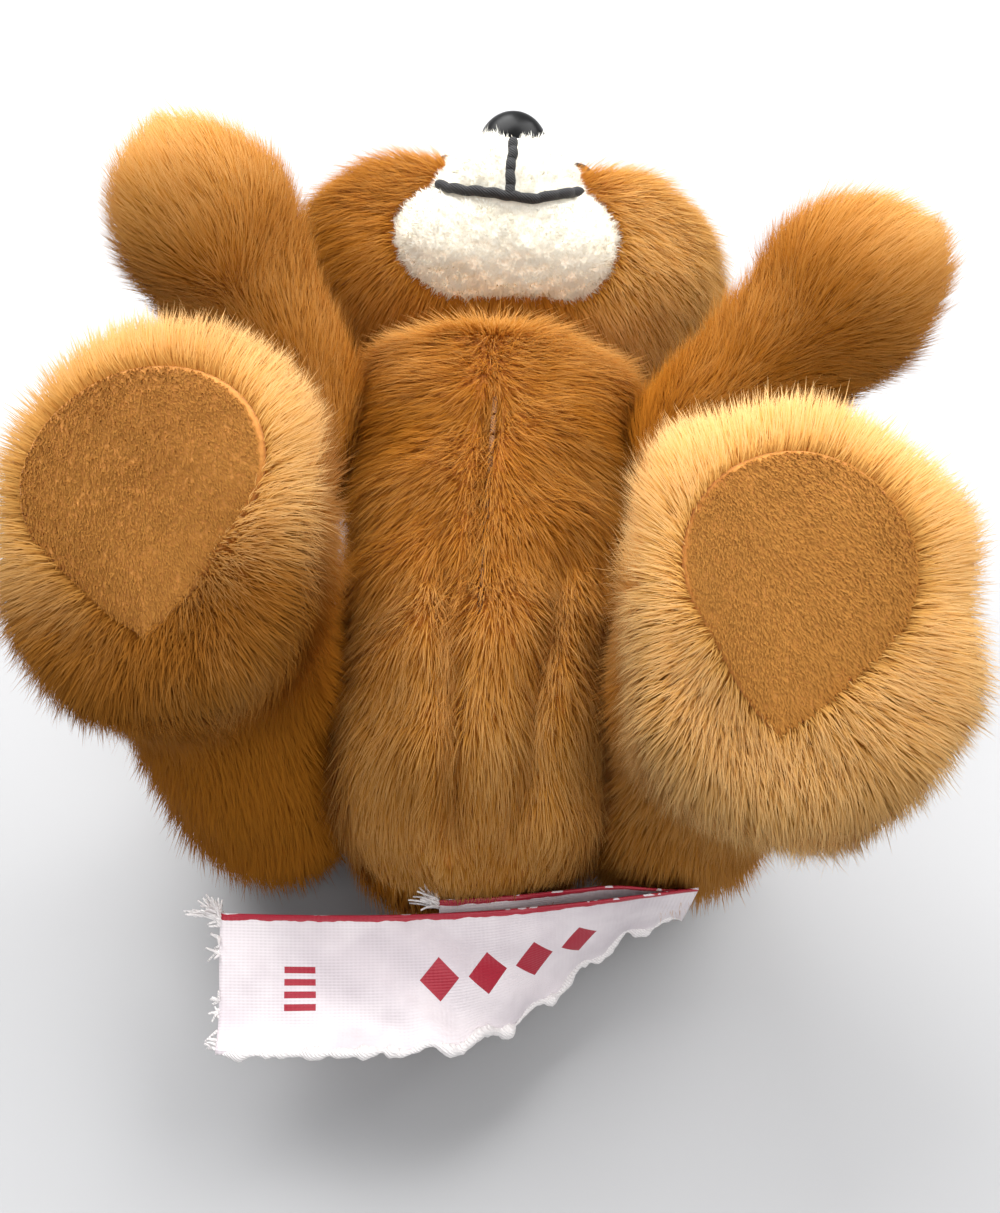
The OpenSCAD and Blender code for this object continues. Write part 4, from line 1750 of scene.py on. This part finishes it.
@dataclass
class Label:
    """Doubled ribbon label, sewn in at its right end and hanging free over the seat."""

    pivot: Array = field(default_factory=lambda: vec(23.5, -33.83, 18) * MM)
    lean: float = 20.0
    turn: float = 6.0
    length: float = 47.5 * MM
    back_length: float = 26 * MM
    width: float = 13 * MM

    @property
    def axes(self) -> Array:
        """The label's frame: X along it to the sewn end, Y up across it, Z out of its face."""
        return turn_x(self.lean) @ turn_z(self.turn)

    def ribbon(self, length: float, back: bool) -> Array:
        """Grid of one layer: from the sewn end it runs length to the left, turned about its top edge by an angle
        that eases from 74 degrees to 0, with slanting creases and a wavering lower edge.

        Args:
            length: length of the layer.
            back: whether it is the back layer.

        Returns:
            Grid, rows along the ribbon by columns across it, from the top edge down.
        """
        rows, cols = 150, 34
        s, w = np.meshgrid(np.linspace(0, 1, rows) * length, np.linspace(0, 1, cols), indexing="ij")
        roll = np.radians((80 if back else 74) * (1 - ease(s, 2 * MM, 30 * MM)))
        wide = self.width * (1 - 0.1 * (1 - ease(s, 0, 24 * MM)))
        drop = w * wide
        crease = 0.42 * MM * np.sin((s * 0.95 + drop * 1.3) * 2 * math.pi / (9.5 * MM))
        crease = crease * ease(s, 2 * MM, 12 * MM) * (0.35 + 0.65 * w) * (1 - 0.55 * ease(s, 28 * MM, 40 * MM))
        scallop = 0.5 * MM * np.sin(s * 2 * math.pi / (5.2 * MM)) * w**6 * (1 - ease(s, 26 * MM, 34 * MM))
        sag = -1.2 * MM * np.sin(math.pi * np.clip(s / (50 * MM), 0, 1)) * (1 - w * 0.4)
        curl = 1.3 * MM * ease(w, 0.8, 1.0) * ease(s, 20 * MM, 34 * MM)
        x = -s
        y = -drop * np.cos(roll) + scallop + sag
        z = -drop * np.sin(roll) + crease + curl + (1.0 if back else 1.9) * MM
        if back:
            z = z - 0.9 * MM * ease(s, 4 * MM, 20 * MM)
            y = y + 1.3 * MM * ease(s, 0.5 * MM, 10 * MM)
        return np.stack([x, y, z], -1) @ self.axes.T + self.pivot

    def build(self) -> None:
        """Builds and dresses both layers, the rolled lower edge and the frayed threads."""
        layers = []
        for back in (False, True):
            length = self.back_length if back else self.length
            word = "back" if back else "front"
            finish = SatinFinish(
                f"satin_{word}", (0.78, 0.71, 0.73), (0.62, 0.55, 0.58), (0.36, 0.012, 0.03),
                length, self.width, not back,
            )
            grid = self.ribbon(length, back)
            layer = dress(strip_mesh(f"label_{word}_layer", grid), WARDROBE.get(finish))
            solid = layer.modifiers.new("thickness", "SOLIDIFY")
            solid.thickness, solid.offset = 0.22 * MM, 0.0
            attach(layer, "label")
            layers.append((layer, grid))
        hem = self._hem(layers[0][1])
        frays = self._frays(layers[0][1], layers[1][1])
        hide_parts("label")

    def _hem(self, grid: Array) -> bpy.types.Object:
        """Rolled, fluffy lower edge: a lumpy tube along the ribbon's last column.

        Args:
            grid: the front layer's grid.

        Returns:
            The dressed piece.
        """
        path = grid[:, -1]
        share = np.linspace(0, 1, len(path))
        lumps = 1 + 0.4 * Ripple(2.4 * MM, 79).value(path) + 0.25 * Ripple(1 * MM, 80).value(path)
        radius = 0.5 * MM * np.clip(lumps, 0.35, 1.9) * np.minimum(1, 0.3 + 10 * np.minimum(share, 1 - share))
        hem = dress(tube_mesh("label_rolled_edge", path, radius, 10), WARDROBE.get(WHITE_THREAD))
        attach(hem, "label")
        return hem

    def _frays(self, front: Array, back: Array) -> bpy.types.Object:
        """Loose threads at the two cut ends: short curved tubes that fan out of the corners.

        Args:
            front: the front layer's grid.
            back: the back layer's grid.

        Returns:
            The dressed piece.
        """
        rng = np.random.default_rng(81)
        out = -self.axes[:, 0]
        up, face = self.axes[:, 1], self.axes[:, 2]
        parts = []
        for grid, count, top_share in ((front, 74, 0.6), (back, 36, 0.8)):
            for i in range(count):
                corner = rng.random() < top_share
                column = int(rng.uniform(0, 3) if corner else rng.uniform(0, grid.shape[1] - 1))
                start = grid[-1, column]
                way = out * rng.uniform(0.1, 1)
                way = way + up * (rng.uniform(0.1, 1.0) if corner else rng.normal(0, 0.4))
                way = unit(way + face * rng.normal(0.1, 0.35))
                bend = unit(rng.normal(size=3)) * rng.uniform(0.2, 0.9)
                long = rng.uniform(0.9, 2.9 if corner else 1.2) * MM
                t = np.linspace(0, 1, 7)[:, None]
                path = start + long * (t * way + t * t * bend * 0.5)
                parts.append(tube_mesh(f"fray_{i}", path, np.linspace(0.19, 0.09, 7) * MM, 5))
        frays = dress(merged("label_frayed_threads", parts), WARDROBE.get(WHITE_THREAD))
        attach(frays, "label")
        return frays


@dataclass
class HangingLoop:
    """Woven tape that leaves the crown, goes round the split ring and comes back."""

    start: Array = field(default_factory=lambda: vec(0, 68.51, 7.98) * MM)
    eye: Array = field(default_factory=lambda: vec(0, 82.5, 2.95) * MM)
    eye_r: float = 2.55 * MM
    width: float = 8 * MM

    def build(self) -> None:
        """Builds and dresses the tape: its centre line runs beside the line from crown to eye at half a layer's
        distance, round the eye's circle and back, and it is carried across X by its width."""
        run = self.eye - self.start
        ahead = unit(run)
        over = unit(np.cross(ahead, vec(1, 0, 0))) * -1
        over = over if over[2] > 0 else -over
        gap = 0.27 * MM
        t = np.linspace(0, 1, 30)[:, None]
        far = self.eye - ahead * self.eye_r * 1.35
        spread = (gap + (self.eye_r * 0.62 - gap) * ease(t, 0.86, 1.0)) * over
        go = self.start + ahead * 0.5 * MM + (far - self.start - ahead * 0.5 * MM) * t
        angle = np.radians(np.linspace(128, -128, 44))[:, None]
        loop = self.eye + self.eye_r * (np.cos(angle) * ahead + np.sin(angle) * over)
        path = np.concatenate([go + spread, loop, (go - spread)[::-1]])
        across = np.linspace(-0.5, 0.5, 13)[None, :, None] * vec(1, 0, 0) * self.width
        grid = path[:, None] + across
        grid[..., 2] = np.maximum(grid[..., 2], 0.3 * MM)
        tape = dress(strip_mesh("hanging_tape", grid), WARDROBE.get(TAPE))
        solid = tape.modifiers.new("thickness", "SOLIDIFY")
        solid.thickness, solid.offset = 0.42 * MM, 0.0
        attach(tape, "hang_loop")
        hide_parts("hang_loop")
        self._box_stitch(ahead, over)

    def _box_stitch(self, ahead: Array, over: Array) -> None:
        """Row of stitches that closes the loop below the ring.

        Args:
            ahead: direction from crown to eye.
            over: direction out of the tape's upper face.
        """
        parts = []
        middle = self.eye - ahead * (self.eye_r + 2.6 * MM) + over * 0.5 * MM
        for row in (-1, 1):
            for i in range(5):
                x = (-2.9 + 1.45 * i) * MM
                t = np.linspace(-0.55, 0.55, 7)[:, None]
                path = middle + ahead * row * 0.9 * MM + vec(1, 0, 0) * (x + t * MM)
                path = path + over * 0.12 * MM * np.cos(t * 2.6)
                parts.append(tube_mesh(f"bar_{row}_{i}", path, np.full(7, 0.17 * MM), 7))
        stitches = dress(merged("tape_stitches", parts), WARDROBE.get(BROWN_THREAD))
        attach(stitches, "hang_loop")


@dataclass
class Hardware:
    """CAD nodes that stay as they are and get their real finish."""

    finishes: dict[str, object] = field(
        default_factory=lambda: {
            "nose": BUTTON,
            "eye_left": BUTTON,
            "eye_right": BUTTON,
            "nose_washer": NYLON,
            "eye_washer_left": NYLON,
            "eye_washer_right": NYLON,
            "belly_seam_stitches": BROWN_THREAD,
            "seat_seam_stitches": BROWN_THREAD,
            "split_ring": NICKEL,
        }
    )

    def build(self) -> None:
        """Dresses each node."""
        for name, finish in self.finishes.items():
            dress(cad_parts[name], WARDROBE.get(finish))
            LOG.info("%s: %s", name, finish.name)


# ---------- studio ----------


@dataclass
class Studio:
    """Pale floor, soft lights and the camera."""

    eye: Array = field(default_factory=lambda: vec(2, -76.9, 129.8) * MM)
    target: Array = field(default_factory=lambda: vec(2, -2, 19.9) * MM)
    roll: float = 3.5
    lens: float = 41.4

    def build(self) -> None:
        """Builds the floor, the lights, the sky and the camera."""
        self._floor()
        self._light("key", vec(-150, 240, 330), vec(0, 5, 15), 380, 4.0)
        self._light("fill", vec(210, 170, 280), vec(0, 0, 10), 300, 1.8)
        self._light("front", vec(60, -240, 330), vec(0, 0, 20), 320, 1.0)
        world = bpy.data.worlds.new("studio")
        world.use_nodes = True
        world.node_tree.nodes["Background"].inputs[0].default_value = (0.93, 0.95, 1.0, 1.0)
        world.node_tree.nodes["Background"].inputs[1].default_value = 0.33
        bpy.context.scene.world = world
        bpy.context.scene.view_settings.view_transform = "Standard"
        self._camera()

    def _floor(self) -> None:
        """A wide flat floor just below the bear's back: a grid of points at one height."""
        x, y = np.meshgrid(np.linspace(-9, 9, 9), np.linspace(-9, 9, 9), indexing="xy")
        grid = np.stack([x, y, np.full(x.shape, -0.02 * MM)], -1)
        dress(strip_mesh("studio_floor", grid), WARDROBE.get(FLOOR))

    def _light(self, name: str, place: Array, aim: Array, size: float, power: float) -> None:
        """A square soft light.

        Args:
            name: its name.
            place: where it is, in millimetres.
            aim: what it points at, in millimetres.
            size: its side, in millimetres.
            power: its power in watts.
        """
        lamp = bpy.data.lights.new(name, "AREA")
        lamp.size, lamp.energy = size * MM, power
        obj = bpy.data.objects.new(name, lamp)
        obj.location = Vector(place * MM)
        obj.rotation_euler = Vector((aim - place) * MM).to_track_quat("-Z", "Y").to_euler()
        bpy.context.scene.collection.objects.link(obj)

    def _camera(self) -> None:
        """The camera: its right is square to the line of sight and level, then turned by the roll."""
        ahead = unit(self.target - self.eye)
        right = unit(np.cross(ahead, vec(0, 0, 1)))
        up = np.cross(right, ahead)
        a = math.radians(self.roll)
        right, up = right * math.cos(a) + up * math.sin(a), up * math.cos(a) - right * math.sin(a)
        data = bpy.data.cameras.new("camera")
        data.sensor_fit, data.sensor_width, data.lens = "HORIZONTAL", 36.0, self.lens
        data.clip_start, data.clip_end = 0.004, 20.0
        camera = bpy.data.objects.new("camera", data)
        camera.matrix_world = Matrix(
            [[*(float(c[i]) for c in (right, up, -ahead, self.eye))] for i in range(3)] + [[0, 0, 0, 1]]
        )
        bpy.context.scene.collection.objects.link(camera)
        bpy.context.scene.camera = camera


def main() -> None:
    """Builds every piece in order."""
    logging.basicConfig(level=logging.INFO, format="%(name)s: %(message)s")
    torso, head, muzzle = Torso(), Head(), Muzzle()
    arms = [Arm(Side.LEFT, -24, 23), Arm(Side.RIGHT, -22, 35)]
    legs = [
        Leg(
            Side.LEFT, -13, 13, 36, 4,
            pad_width=1.2, pad_shift=(1.0, 0.0), foot_shift=(1.0, -0.8), plump=0.9 * MM,
        ),
        Leg(
            Side.RIGHT, -3, 6, 24, -6,
            pad_twist=-7, pad_shift=(1.3, -0.7), foot_shift=(1.5, -1.5), plump=1.5 * MM,
        ),
    ]

    def limbs(p: Array) -> Array:
        """Nearest limb's field."""
        return np.minimum.reduce([limb.depth(p) for limb in arms + legs])

    torso.build(limbs, head.depth)
    head.build(torso.depth, muzzle.depth)
    muzzle.build(head.depth)
    for side in Side:
        Ear(side).build(head.depth)
    for limb in arms + legs:
        limb.build(torso.depth)
    Label().build()
    HangingLoop().build()
    Hardware().build()
    Studio().build()


if __name__ == "__main__":
    main()
